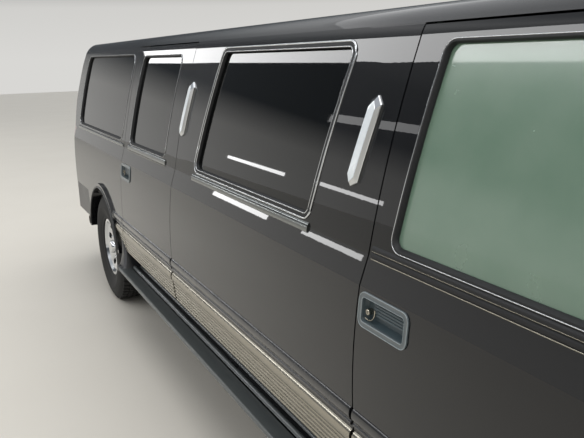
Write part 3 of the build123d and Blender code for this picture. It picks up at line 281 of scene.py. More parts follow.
# Sand-cast iron, left bare: dark, rough, a little rust.
CAST_IRON = Finish(
    "sand_cast_iron", "cast_parts", "#2c2927", 0.7, metallic=0.5, second_colour="#3d3029",
    patch_mm=80, rough_spread=0.1, grain_mm=3.0, grain_depth_mm=0.15,
)
# Aluminised steel pipe, heat-dulled.
EXHAUST_STEEL = Finish(
    "aluminised_exhaust_steel", "exhaust_steel", "#77726b", 0.4, metallic=1.0,
    second_colour="#5d5248", patch_mm=90, rough_spread=0.12, grain_mm=2.0, grain_depth_mm=0.03,
)
# Polycarbonate, moulded clear, over a bright reflector.
LAMP_LENS = Finish(
    "clear_polycarbonate_lens", "lamp_lens", "#dfe4e6", 0.04, transmission=0.8, ior=1.58,
    coat=0.5, second_colour="#cfd6d8", patch_mm=60, rough_spread=0.02,
)
# Acrylic, moulded ruby red over prisms 8 mm wide: glossy and deep.
RED_LENS = Finish(
    "red_acrylic_lens", "red_lens", "#8d1013", 0.12, transmission=0.25, ior=1.49, coat=1.0,
    second_colour="#6f0c10", patch_mm=50, rough_spread=0.04, grain_mm=8.0, grain_depth_mm=0.2,
)
# The same, moulded in amber.
AMBER_LENS = Finish(
    "amber_acrylic_lens", "red_lens", "#c8690f", 0.12, transmission=0.25, ior=1.49, coat=1.0,
    second_colour="#b4580a", patch_mm=50, rough_spread=0.04, grain_mm=8.0, grain_depth_mm=0.2,
)
# Full-grain hide, dyed charcoal: soft sheen and a pebble grain, drawn 5 mm wide.
HIDE = Finish(
    "charcoal_full_grain_hide", "seat_leather", "#2b2b2e", 0.48, second_colour="#333336",
    patch_mm=90, rough_spread=0.08, grain_mm=5.0, grain_depth_mm=0.25,
)
# Polypropylene, moulded with a fine grain: dark grey and nearly matt.
CABIN_PLASTIC = Finish(
    "grained_cabin_plastic", "trim_plastic", "#38383a", 0.55, second_colour="#303032",
    patch_mm=120, rough_spread=0.07, grain_mm=3.0, grain_depth_mm=0.1,
)
# Nylon carpet, cut pile: dark, tufted and quite matt.
CARPET = Finish(
    "cut_pile_nylon_carpet", "trim_plastic", "#242528", 0.95, second_colour="#1b1c1e",
    patch_mm=40, grain_mm=4.0, grain_depth_mm=1.2,
)
# Concrete, sealed: pale, even and half matt.
FLOOR = Finish(
    "pale_sealed_floor", "", "#cfcac0", 0.5, second_colour="#c9c4ba", patch_mm=900,
    rough_spread=0.05,
)

NODE_FINISHES: dict[str, Finish] = {
    "black_paint": PAINT, "clear_glass": CLEAR_GLASS, "dark_glass": PRIVACY_GLASS,
    "bright_chrome": CHROME, "frame_black": CHASSIS_PAINT, "underbody_black": CHASSIS_PAINT,
    "cast_parts": CAST_IRON, "spring_steel": CAST_IRON, "exhaust_steel": EXHAUST_STEEL,
    "black_plastic": MOULDED_BLACK, "trim_plastic": CABIN_PLASTIC,
    "board_rubber": MOULDED_BLACK, "seat_leather": HIDE, "lamp_lens": LAMP_LENS,
    "red_lens": RED_LENS, "tyre_rubber": TYRE_RUBBER,
}


def dress_nodes() -> None:
    """Gives every CAD node the finish of its slot."""
    for row in frame["record"]["subparts"]:
        name, slot = row["node"], row["material_slot"]
        finish = NODE_FINISHES[slot]
        if name.startswith("front_door_glass"):
            finish = DUSTY_GLASS
        if name == "rear_bumper":
            finish = MOULDED_BLACK
        material = finish.make()
        for holder in frame["nodes"][name].material_slots:
            holder.material = material
    log.info("dressed %d nodes", len(frame["nodes"]))


# Mesh work shared by the sub-assemblies

WELD = 0.00001
SPUN_WELD = 0.00005
SAME_PLACE = 0.0001
END_CHAMFER_ANGLE = 50


def spaced(start: float, end: float, parts: int) -> list[float]:
    """Evenly spaced values from start to end, both included."""
    return [start + (end - start) * k / parts for k in range(parts + 1)]


def turns(count: int) -> list[float]:
    """The angles that divide a full turn into so many parts."""
    return [2 * pi * k / count for k in range(count)]


def nothing_selected() -> None:
    """Leaves edit mode and deselects every object."""
    if bpy.context.object and bpy.context.object.mode != "OBJECT":
        bpy.ops.object.mode_set(mode="OBJECT")
    bpy.ops.object.select_all(action="DESELECT")


def make_active(piece: Piece) -> None:
    """Selects one object alone and makes it the active one.

    Args:
        piece: the object.
    """
    nothing_selected()
    piece.select_set(True)
    bpy.context.view_layer.objects.active = piece


@contextmanager
def edit_mode() -> Iterator[None]:
    """Edit mode on the active object, with all of its mesh selected."""
    bpy.ops.object.mode_set(mode="EDIT")
    bpy.ops.mesh.select_all(action="SELECT")
    yield
    bpy.ops.object.mode_set(mode="OBJECT")


def apply_transform() -> None:
    """Puts the active object's place, turn and scale into its mesh."""
    bpy.ops.object.transform_apply(location=True, rotation=True, scale=True)


def apply_modifier(piece: Piece, kind: str, **settings: object) -> None:
    """Adds a modifier and applies it at once.

    Args:
        piece: the object.
        kind: the modifier's type.
        settings: its settings.
    """
    make_active(piece)
    modifier = piece.modifiers.new(kind.lower(), kind)
    for key, value in settings.items():
        setattr(modifier, key, value)
    bpy.ops.object.modifier_apply(modifier=modifier.name)


def bevel_edges(piece: Piece, width: float, segments: int = 2, angle: float = 30) -> None:
    """Rounds the edges of a piece that are sharper than the angle in degrees.

    Args:
        piece: the object.
        width: how far.
        segments: the steps of each round.
        angle: the angle in degrees.
    """
    apply_modifier(
        piece, "BEVEL", width=width, segments=segments, limit_method="ANGLE",
        angle_limit=radians(angle), use_clamp_overlap=True,
    )


def settle(
    piece: Piece, name: str, finish: Finish, body: str = "body", smooth: float = 40, slot: str = ""
) -> None:
    """Finishes a piece: place in its mesh, shading, material and body.

    Args:
        piece: the modelled object.
        name: its name.
        finish: its finish.
        body: the body that it rides on.
        smooth: the angle in degrees under which edges shade smooth.
        slot: the record's material slot, where it is not the finish's own; not used.
    """
    make_active(piece)
    apply_transform()
    with edit_mode():
        bpy.ops.mesh.remove_doubles(threshold=WELD)
        bpy.ops.mesh.normals_make_consistent(inside=False)
    bpy.ops.object.shade_smooth_by_angle(angle=radians(smooth))
    piece.name = name
    piece.data.name = name
    piece.data.materials.clear()
    piece.data.materials.append(finish.make())
    slot or finish.slot
    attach(piece, body)
    nothing_selected()


def joined(pieces: Sequence[Piece]) -> Piece:
    """Joins several objects into the first.

    Args:
        pieces: the objects.

    Returns:
        The joined object.
    """
    nothing_selected()
    for piece in pieces:
        piece.select_set(True)
    bpy.context.view_layer.objects.active = pieces[0]
    if len(pieces) > 1:
        bpy.ops.object.join()
    return pieces[0]


def block(low: Point, high: Point, round_by: float = 0.0, segments: int = 2) -> Piece:
    """A box between two corners.

    Args:
        low: one corner.
        high: the corner across from it.
        round_by: how far its edges are rounded.
        segments: how many steps a rounded edge has.

    Returns:
        The new object.
    """
    nothing_selected()
    middle = [(a + b) / 2 for a, b in zip(low, high)]
    bpy.ops.mesh.primitive_cube_add(size=1, location=middle)
    piece = bpy.context.object
    piece.scale = [abs(b - a) for a, b in zip(low, high)]
    apply_transform()
    if round_by:
        bevel_edges(piece, round_by, segments)
    return piece


def rod(start: Point, end: Point, radius: float, sides: int = 24) -> Piece:
    """A round bar, its ends chamfered.

    Args:
        start: the middle of one end.
        end: the middle of the other end.
        radius: its radius.
        sides: how many sides its section has.

    Returns:
        The new object.
    """
    nothing_selected()
    a, b = Vector(start), Vector(end)
    axis = b - a
    bpy.ops.mesh.primitive_cylinder_add(
        vertices=sides, radius=radius, depth=axis.length, location=(a + b) / 2,
        rotation=axis.to_track_quat("Z", "Y").to_euler(),
    )
    piece = bpy.context.object
    apply_transform()
    bevel_edges(piece, min(radius * 0.15, axis.length * 0.2), 1, END_CHAMFER_ANGLE)
    return piece


def band(loops: Sequence[Sequence[Point]], closed: bool = False, caps: bool = False) -> Piece:
    """A surface drawn out of a ring of edges through further rings of as many points.

    Args:
        loops: the rings, in order.
        closed: whether the last ring joins the first.
        caps: whether the first and last rings are filled.

    Returns:
        The new object.
    """
    nothing_selected()
    bpy.ops.mesh.primitive_circle_add(vertices=len(loops[0]), radius=1, fill_type="NOTHING")
    piece = bpy.context.object
    spots = {(round(v.co.x, 4), round(v.co.y, 4)): v.index for v in piece.data.vertices}
    rings = [*loops, loops[0]] if closed else loops
    with edit_mode():
        for _ in rings[1:]:
            bpy.ops.mesh.extrude_region_move(TRANSFORM_OT_translate={"value": (0, 0, 1)})
    for vertex in piece.data.vertices:
        x, y, z = vertex.co
        vertex.co = rings[round(z)][spots[round(x, 4), round(y, 4)]]
    with edit_mode():
        bpy.ops.mesh.remove_doubles(threshold=WELD)
        if caps:
            bpy.ops.mesh.select_all(action="DESELECT")
            bpy.ops.mesh.select_non_manifold()
            bpy.ops.mesh.fill_holes(sides=0)
    return piece


def tube(path: Sequence[Point], radius: float, closed: bool = True, sides: int = 8) -> Piece:
    """A thin round bead along a path of points.

    Args:
        path: the points of its middle line.
        radius: its radius.
        closed: whether its ends meet.
        sides: how many sides its section has.

    Returns:
        The new object.
    """
    points = [Vector(point) for point in path]
    count = len(points)
    rings = []
    for index, point in enumerate(points):
        ahead = points[(index + 1) % count] if closed or index < count - 1 else point
        behind = points[index - 1] if closed or index else point
        along = (ahead - behind).normalized()
        upright = Vector((0, 0, 1)) if abs(along.z) < 0.9 else Vector((0, 1, 0))
        across = along.cross(upright).normalized()
        up = across.cross(along)
        rings.append([
            tuple(point + across * radius * cos(a) + up * radius * sin(a)) for a in turns(sides)
        ])
    return band(rings, closed=closed, caps=not closed)


def arc_bead(
    side: Side, centre: Point, reach: float, thick: Flat, span: Flat, steps: int, corners: int
) -> Piece:
    """A bead bent along part of a circle that stands upright beside the vehicle.

    Args:
        side: the side that it is on.
        centre: the circle's middle, its Y measured outwards.
        reach: the circle's radius.
        thick: half the bead's thickness, along the radius and outwards.
        span: the first and the last angle in degrees.
        steps: divisions of the arc.
        corners: how many sides the bead's section has.

    Returns:
        The new object.
    """
    x, y, z = centre
    section = [(reach + thick[0] * cos(t), y + thick[1] * sin(t)) for t in turns(corners)]
    rings = [
        [(x + arm * cos(angle), side.value * out, z + arm * sin(angle)) for arm, out in section]
        for angle in (radians(a) for a in spaced(*span, steps))
    ]
    return band(rings, caps=True)


def spun(profile: Sequence[Flat], centre: Point, axis: str, steps: int) -> Piece:
    """A closed profile spun all the way round an axis.

    Args:
        profile: (radius, along) points of a closed section.
        centre: the point that the axis passes through.
        axis: "X" or "Y".
        steps: divisions of the turn.

    Returns:
        The new object.
    """
    cx, cy, cz = centre
    nothing_selected()
    bpy.ops.mesh.primitive_circle_add(vertices=len(profile), radius=1, fill_type="NOTHING")
    piece = bpy.context.object
    for vertex, (reach, along) in zip(piece.data.vertices, profile):
        vertex.co = (cx + reach, cy + along, cz) if axis == "Y" else (cx + along, cy + reach, cz)
    make_active(piece)
    line = (0, 1, 0) if axis == "Y" else (1, 0, 0)
    with edit_mode():
        bpy.ops.mesh.spin(steps=steps, angle=2 * pi, center=centre, axis=line)
        bpy.ops.mesh.select_all(action="SELECT")
        bpy.ops.mesh.remove_doubles(threshold=SPUN_WELD)
        bpy.ops.mesh.normals_make_consistent(inside=False)
    return piece


def rounded_outline(corners: Sequence[Flat], radius: float, steps: int = 6) -> list[Flat]:
    """An outline's points with each corner rounded.

    Args:
        corners: the outline's sharp corners.
        radius: the radius at each corner.
        steps: divisions of each round.

    Returns:
        The rounded outline's points.
    """
    found: list[Flat] = []
    count = len(corners)
    for index in range(count):
        here = Vector(corners[index])
        back = (Vector(corners[index - 1]) - here).normalized()
        ahead = (Vector(corners[(index + 1) % count]) - here).normalized()
        half = back.angle(ahead) / 2
        reach = radius / tan(half)
        middle = here + (back + ahead).normalized() * (radius / sin(half))
        first = here + back * reach - middle
        last = here + ahead * reach - middle
        turn = first.angle_signed(last)
        for step in range(steps + 1):
            arm = first.copy()
            arm.rotate(Matrix.Rotation(-turn * step / steps, 2))
            found.append((middle.x + arm.x, middle.y + arm.y))
    return found


def inset_outline(corners: Sequence[Flat], by: float) -> list[Flat]:
    """An outline's corners moved inwards, or outwards where by is negative.

    Args:
        corners: its corners.
        by: how far.

    Returns:
        The moved corners.
    """
    ends = [*corners[1:], corners[0]]
    area = sum(a[0] * b[1] - b[0] * a[1] for a, b in zip(corners, ends))
    turn = 1 if area > 0 else -1
    found: list[Flat] = []
    count = len(corners)
    for index in range(count):
        p, q, r = (Vector(corners[(index + k) % count]) for k in (-1, 0, 1))
        d1, d2 = (q - p).normalized(), (r - q).normalized()
        n1 = Vector((-d1.y, d1.x)) * turn
        n2 = Vector((-d2.y, d2.x)) * turn
        shift = (n1 + n2) / (1 + n1.dot(n2))
        found.append(tuple(q + shift * by))
    return found


def rectangle(low: Flat, high: Flat) -> list[Flat]:
    """The four corners of a rectangle, from its lowest corner round."""
    return [low, (high[0], low[1]), high, (low[0], high[1])]


def rolled(
    corners: Sequence[Flat], radius: float, rows: Sequence[Flat],
    place: Callable[[float, float, float], Point], steps: int = 6, plate: bool = False,
) -> Piece:
    """A frame, or a plate, rolled along a rounded outline.

    Args:
        corners: the outline's sharp corners.
        radius: its corners' radius.
        rows: how far each ring is grown outwards, and how far it stands proud.
        place: turns an outline's point and its stand into a place.
        steps: divisions of each rounded corner.
        plate: whether the ends are filled, and not joined to each other.

    Returns:
        The new object.
    """
    rings = []
    for grow, stand in rows:
        flat = rounded_outline(inset_outline(corners, -grow), radius + grow, steps)
        rings.append([place(a, b, stand) for a, b in flat])
    return band(rings, closed=not plate, caps=plate)


# Shape and main places of the body, as the solids have them


@dataclass
class BodySection:
    """The body's cross-section: how far out the side is at each height, in (y, z) points."""

    foot: tuple[Flat, Flat] = ((0.905, 0.44), (0.984, 0.53))
    lower: tuple[Flat, Flat, Flat] = ((0.984, 0.53), (1.0, 0.82), (0.978, 1.15))
    shoulder: tuple[Flat, Flat] = ((0.978, 1.15), (0.952, 1.24))
    upper: tuple[Flat, Flat, Flat] = ((0.952, 1.24), (0.892, 1.545), (0.814, 1.836))

    @staticmethod
    def on_line(two: tuple[Flat, Flat], z: float) -> float:
        """The outward reach at height z on the line through two points."""
        (ay, az), (by, bz) = two
        return ay + (z - az) / (bz - az) * (by - ay)

    @staticmethod
    def on_arc(three: tuple[Flat, Flat, Flat], z: float) -> float:
        """The outward reach at height z on the arc through three points.

        Args:
            three: the arc's points.
            z: the height.

        Returns:
            The reach.
        """
        (ax, ay), (bx, by), (cx, cy) = three
        d = 2 * (ax * (by - cy) + bx * (cy - ay) + cx * (ay - by))
        a2, b2, c2 = ax**2 + ay**2, bx**2 + by**2, cx**2 + cy**2
        ux = (a2 * (by - cy) + b2 * (cy - ay) + c2 * (ay - by)) / d
        uy = (a2 * (cx - bx) + b2 * (ax - cx) + c2 * (bx - ax)) / d
        radius = hypot(ax - ux, ay - uy)
        return ux + sqrt(max(radius**2 - (z - uy) ** 2, 0.0))

    def reach(self, z: float) -> float:
        """The distance from the middle plane to the paint at height z.

        Args:
            z: the height.

        Returns:
            The distance.
        """
        if z < self.lower[0][1]:
            return self.on_line(self.foot, z)
        if z < self.lower[2][1]:
            return self.on_arc(self.lower, z)
        if z < self.shoulder[1][1]:
            return self.on_line(self.shoulder, z)
        return self.on_arc(self.upper, z)

    def on_side(self, flat: Sequence[Flat], side: Side, proud: float) -> list[Point]:
        """Lays (x, z) points on a side, standing proud of the paint."""
        return [(x, side.value * (self.reach(z) + proud), z) for x, z in flat]


BODY = BodySection()
REAR_AXLE, FRONT_AXLE = -2.456, 2.806
REAR_DOOR_BACK, REAR_DOOR_FRONT = -1.816, -0.756
FRONT_DOOR_BACK, FRONT_DOOR_FRONT = 1.024, 2.206
# Each door's name, and the places of its back and front edges.
DOORS = (
    ("front_door", FRONT_DOOR_BACK, FRONT_DOOR_FRONT),
    ("rear_door", REAR_DOOR_BACK, REAR_DOOR_FRONT),
)
TAIL, NOSE = -3.634, 3.769
HUB_Z = 0.402
SHUT_SLANT = 0.3


def shut_x(edge: float, z: float) -> float:
    """Where a slanted shut line lies at height z, from its place at the widest line."""
    return edge + SHUT_SLANT * (1.0 - BODY.reach(z))


@dataclass(frozen=True)
class Opening:
    """A side window: its corners' places in x, its head, its radius, and its door if it has one."""

    name: str
    ends: tuple[float, float, float, float]
    head: float
    radius: float
    door: str = ""

    @property
    def corners(self) -> list[Flat]:
        """The outline's sharp corners, from the sill's rear end round."""
        return list(zip(self.ends, (SILL_Z, SILL_Z, self.head, self.head)))

    def body(self, side: Side) -> str:
        """The body that the window is in."""
        return f"{self.door}_{side.word}" if self.door else "body"


SILL_Z, HEAD_Z = 1.278, 1.822
SIDE_WINDOWS = (
    Opening("front_door_window", (1.132, 2.116, 1.6944, 1.194), HEAD_Z, 0.034, "front_door"),
    Opening("lounge_window", (-0.45, 0.664, 0.776, -0.3), HEAD_Z, 0.034),
    Opening("rear_door_window", (-1.676, -0.936, -0.874, -1.614), 1.81, 0.04, "rear_door"),
    Opening("quarter_window", (-3.364, -1.886, -1.824, -3.304), HEAD_Z, 0.06),
)


# Stage, light and camera


@dataclass(frozen=True)
class SoftLamp:
    """A soft rectangular lamp: where it hangs, what it faces, its size in metres and its watts."""

    name: str
    place: Point
    aim: Point
    size: Flat
    watts: float

    def build(self) -> None:
        """Adds the lamp."""
        nothing_selected()
        bpy.ops.object.light_add(type="AREA", location=self.place)
        lamp = bpy.context.object
        lamp.name = self.name
        lamp.data.shape = "RECTANGLE"
        lamp.data.size, lamp.data.size_y = self.size
        lamp.data.energy = self.watts
        way = Vector(self.aim) - Vector(self.place)
        lamp.rotation_euler = way.to_track_quat("-Z", "Y").to_euler()


@dataclass
class Studio:
    """A pale floor in a hall that is pale at its foot, dark higher up and bright overhead."""

    heights: tuple[tuple[float, str], ...] = (
        (0.0, "#dddcd9"), (0.07, "#d5d4d1"), (0.14, "#565a5e"), (0.26, "#5a5e62"),
        (0.36, "#9a9ea1"), (0.5, "#f4f6f8"), (0.6, "#b4b8bd"), (1.0, "#d4d7db"),
    )
    strength: float = 0.95
    floor_radius: float = 40
    ceiling_strength: float = 1.15
    ceiling_spread: float = radians(70)
    lamps: tuple[SoftLamp, ...] = (
        SoftLamp("over_lamp", (0, 0, 6.5), (0, 0, 0), (14, 7), 190),
        SoftLamp("right_lamp", (-7.5, -4.6, 4.3), (-7.5, -1.0, 0.5), (21.0, 0.55), 190),
        SoftLamp("wall_tube", (-11.5, -6.5, 1.43), (-11.5, 0, 1.43), (3.2, 0.11), 8),
        SoftLamp("shoulder_tube", (-7.35, -6.5, 1.48), (-7.35, 0, 1.48), (2.1, 0.1), 4),
        SoftLamp("high_window", (-7.6, -6.5, 3.35), (-7.6, 0, 3.35), (3.0, 0.22), 4),
        SoftLamp("left_lamp", (1.0, 6.5, 5.0), (0, 0, 0.6), (12.0, 1.8), 130),
        SoftLamp("nose_lamp", (8.5, -2.5, 3.8), (2.5, 0, 0.9), (6.0, 3.0), 80),
    )

    def build(self) -> None:
        """Sets the floor, the surround, the ceiling's light and the lamps."""
        self.floor()
        self.surround()
        nothing_selected()
        bpy.ops.object.light_add(type="SUN", location=(0, 0, 8), rotation=(radians(-14), radians(8), 0))
        ceiling = bpy.context.object
        ceiling.name = "ceiling_light"
        ceiling.data.energy = self.ceiling_strength
        ceiling.data.angle = self.ceiling_spread
        for lamp in self.lamps:
            lamp.build()

    def floor(self) -> None:
        """Adds the pale round floor."""
        nothing_selected()
        bpy.ops.mesh.primitive_circle_add(
            vertices=64, radius=self.floor_radius, fill_type="NGON", location=(0, 0, 0)
        )
        floor = bpy.context.object
        floor.name = "studio_floor"
        floor.data.materials.append(FLOOR.make())

    def surround(self) -> None:
        """Sets the world: its colour by height over the horizon."""
        world = bpy.data.worlds.new("hall_surround")
        bpy.context.scene.world = world
        world.use_nodes = True
        tree = world.node_tree
        tree.nodes.clear()
        way = add_node(tree, "ShaderNodeTexCoord").outputs["Generated"]
        height = add_node(tree, "ShaderNodeSeparateXYZ", None, {"Vector": way}).outputs["Z"]
        ramp = add_node(tree, "ShaderNodeValToRGB", None, {"Fac": height})
        stops = ramp.color_ramp.elements
        stops.remove(stops[1])
        stops[0].position, stops[0].color = self.heights[0][0], linear(self.heights[0][1])
        for at, colour in self.heights[1:]:
            stops.new(at).color = linear(colour)
        light = add_node(
            tree, "ShaderNodeBackground", {"Strength": self.strength}, {"Color": ramp.outputs["Color"]}
        )
        add_node(tree, "ShaderNodeOutputWorld", None, {"Surface": light.outputs["Background"]})


@dataclass
class PhotoCamera:
    """The photograph's viewpoint: beside the right front door, looking to the rear and down."""

    place: Point = (2.544, -1.97, 1.797)
    yaw: float = 27.21
    pitch: float = 13.9
    roll: float = 1.52
    focal_px: float = 663.5
    frame_px: int = 584
    sensor_mm: float = 36

    def build(self) -> None:
        """Adds the camera and makes it the scene's own."""
        yaw, pitch, roll = (radians(a) for a in (self.yaw, self.pitch, self.roll))
        ahead = Vector((-cos(yaw) * cos(pitch), sin(yaw) * cos(pitch), -sin(pitch)))
        right = ahead.cross(Vector((0, 0, 1))).normalized()
        down = ahead.cross(right)
        across = right * cos(roll) + down * sin(roll)
        below = down * cos(roll) - right * sin(roll)
        data = bpy.data.cameras.new("photo_camera")
        data.sensor_width = self.sensor_mm
        data.lens = self.focal_px / self.frame_px * self.sensor_mm
        data.clip_end = 200
        camera = bpy.data.objects.new("photo_camera", data)
        bpy.context.scene.collection.objects.link(camera)
        turn = Matrix((across, -below, -ahead)).transposed().to_4x4()
        camera.matrix_world = Matrix.Translation(self.place) @ turn
        bpy.context.scene.camera = camera


# Side trim

SUNK = -0.003
Edge = float | Callable[[float], float]


def ribs(foot: float, head: float, count: int, base: float, crest: float) -> list[Flat]:
    """A ribbed strip's section as (proud, z) points, from its foot up to its head.

    Args:
        foot: the lowest height.
        head: the highest height.
        count: how many ribs there are.
        base: how far the valleys stand proud.
        crest: how far the crests stand proud.

    Returns:
        The closed section.
    """
    pitch = (head - foot) / count
    shares = ((0.06, 0.0), (0.2, 0.75), (0.38, 1.0), (0.62, 1.0), (0.8, 0.75), (0.94, 0.0))
    section = [
        (base + (crest - base) * rise, foot + (index + along) * pitch)
        for index in range(count) for along, rise in shares
    ]
    return [(SUNK, foot), *section, (SUNK, head)]


def side_strip(side: Side, back: Edge, fore: Edge, section: Sequence[Flat]) -> Piece:
    """A strip along the side whose section lies on the paint.

    Args:
        side: the side it is on.
        back: where it starts in x, as a value or by height.
        fore: where it ends in x, as a value or by height.
        section: (proud, z) points.

    Returns:
        The new object.
    """
    rings = []
    for end in (back, fore):
        flat = [(end(z) if callable(end) else end, z, proud) for proud, z in section]
        rings.append([(x, side.value * (BODY.reach(z) + proud), z) for x, z, proud in flat])
    return band(rings, caps=True)


@dataclass
class SideTrim:
    """The mouldings along each side: ribbed bright rocker strip, black rub strip, belt strips."""

    rocker: Flat = (0.505, 0.69)
    rocker_ribs: int = 7
    rocker_proud: Flat = (0.0045, 0.0075)
    shoulder_height: float = 0.05
    shoulder_radius: float = 0.025
    shoulder_proud: float = 0.014
    rub: Flat = (0.702, 0.762)
    rub_base: float = 0.002
    rub_crown: float = 0.0085
    shut_clearance: float = 0.01
    door_clearance: float = 0.004
    arch_reach: float = 0.5
    belt: Flat = (1.234, 1.27)
    line_proud: float = 0.0025
    lip_y: float = 1.016
    lip_out: float = 0.004
    lip_thick: Flat = (0.007, 0.006)

    def build(self) -> None:
        """Adds every strip on both sides."""
        for side in Side:
            for place, body, back, fore in self.spans(side):
                for name, section, finish in (
                    ("rocker", self.rocker_section(), STAINLESS),
                    ("rub", self.rub_section(), RUB_BLACK),
                ):
                    strip = side_strip(side, back, fore, section)
                    settle(strip, f"{name}_moulding_{place}_{side.word}", finish, body, 30)
            self.end_knob(side)
            self.door_belt(side)
            self.belt_mouldings(side)
            self.arch_lips(side)

    def spans(self, side: Side) -> list[tuple[str, str, Edge, Edge]]:
        """The stretches between shut lines: name, body, back end and front end.

        Args:
            side: the side.

        Returns:
            The stretches.
        """
        gap, near = self.shut_clearance, self.door_clearance

        def line(edge: float, shift: float) -> Callable[[float], float]:
            """A slanted shut line, moved by shift."""
            return lambda z: shut_x(edge, z) + shift

        rear, front = f"rear_door_{side.word}", f"front_door_{side.word}"
        return [
            ("quarter", "body", self.arch_x, line(REAR_DOOR_BACK, -gap)),
            ("rear_door", rear, line(REAR_DOOR_BACK, near), line(REAR_DOOR_FRONT, -gap)),
            ("lounge", "body", line(REAR_DOOR_FRONT, gap), line(FRONT_DOOR_BACK, -gap)),
            ("front_door", front, line(FRONT_DOOR_BACK, near), FRONT_DOOR_FRONT - gap),
        ]

    def arch_x(self, z: float) -> float:
        """Where the strips start in front of the rear wheel arch."""
        return REAR_AXLE + sqrt(self.arch_reach**2 - (z - HUB_Z) ** 2)

    def rocker_section(self) -> list[Flat]:
        """The rocker moulding: fine ribs under a full round shoulder."""
        foot, head = self.rocker
        shoulder = head - self.shoulder_height
        proud, bend = self.shoulder_proud, self.shoulder_radius
        fine = ribs(foot, shoulder, self.rocker_ribs, *self.rocker_proud)[:-1]
        crown = [
            (proud - bend * (1 - cos(turn)), head - bend * (1 - sin(turn)))
            for turn in (radians(a) for a in spaced(0, 60, 10))
        ]
        step = ((proud - 0.002, shoulder + 0.002), (proud, shoulder + 0.007))
        return [*fine, *step, *crown, (SUNK, head)]

    def rub_section(self) -> list[Flat]:
        """The black moulding: a small bead, a groove and a broad round crown."""
        foot, head = self.rub
        bead = ((SUNK, 0.0), (0.003, 0.0), (0.006, 0.004), (0.006, 0.01), (self.rub_base, 0.013))
        steps = 12
        crown = [
            (self.rub_base + self.rub_crown * sin(pi * k / steps) ** 0.6, z)
            for k, z in enumerate(spaced(foot + 0.017, head, steps))
        ]
        return [*((proud, foot + up) for proud, up in bead), *crown, (SUNK, head)]

    def end_knob(self, side: Side) -> None:
        """Adds the rub moulding's rounded end where it meets the wheel-arch lip.

        Args:
            side: the side.
        """
        z = (self.rub[0] + self.rub[1]) / 2
        nothing_selected()
        bpy.ops.mesh.primitive_uv_sphere_add(
            segments=24, ring_count=12, radius=1,
            location=(self.arch_x(z) + 0.012, side.value * BODY.reach(z), z),
        )
        knob = bpy.context.object
        knob.scale = (0.024, 0.016, 0.034)
        settle(knob, f"rub_moulding_end_{side.word}", RUB_BLACK)

    def door_belt(self, side: Side) -> None:
        """Adds the strip under each door's window, with a bright line above and below.

        Args:
            side: the side.
        """
        foot, head = self.belt
        for door, back, fore, count, finish in (
            ("front_door", FRONT_DOOR_BACK + 0.03, FRONT_DOOR_FRONT - 0.045, 2, SEAL_RUBBER),
            ("rear_door", REAR_DOOR_BACK + 0.11, REAR_DOOR_FRONT - 0.15, 1, DULL_BRIGHT),
        ):
            body = f"{door}_{side.word}"
            strip = side_strip(side, back, fore, ribs(foot, head, count, 0.001, 0.006))
            settle(strip, f"belt_seal_{body}", finish, body, 30)
            lines = [
                tube(BODY.on_side([(back, z), (fore, z)], side, self.line_proud), radius, closed=False)
                for z, radius in ((1.2535, 0.0012), (1.2325, 0.0016))
            ]
            settle(joined(lines), f"belt_lines_{body}", STAINLESS, body, 60)

    def belt_mouldings(self, side: Side) -> None:
        """Adds the dull bright mouldings under the quarter window and the big window.

        Args:
            side: the side.
        """
        for name, back, fore, section, smooth in (
            ("belt_moulding_quarter", -3.395, -1.835, ribs(1.236, 1.262, 1, 0.001, 0.005), 60),
            ("window_sill_moulding", -0.466, 0.682, ribs(1.222, 1.259, 1, 0.002, 0.007), 75),
        ):
            strip = side_strip(side, back, fore, section)
            settle(strip, f"{name}_{side.word}", DULL_BRIGHT, smooth=smooth)

    def arch_lips(self, side: Side) -> None:
        """Adds the rolled black lip along the edge of each wheel arch.

        Args:
            side: the side.
        """
        for place, axle, radius in (("rear", REAR_AXLE, 0.462), ("front", FRONT_AXLE, 0.49)):
            middle = (axle, self.lip_y, HUB_Z)
            lip = arc_bead(side, middle, radius + self.lip_out, self.lip_thick, (12, 168), 48, 10)
            settle(lip, f"arch_lip_{place}_{side.word}", MOULDED_BLACK, smooth=50)


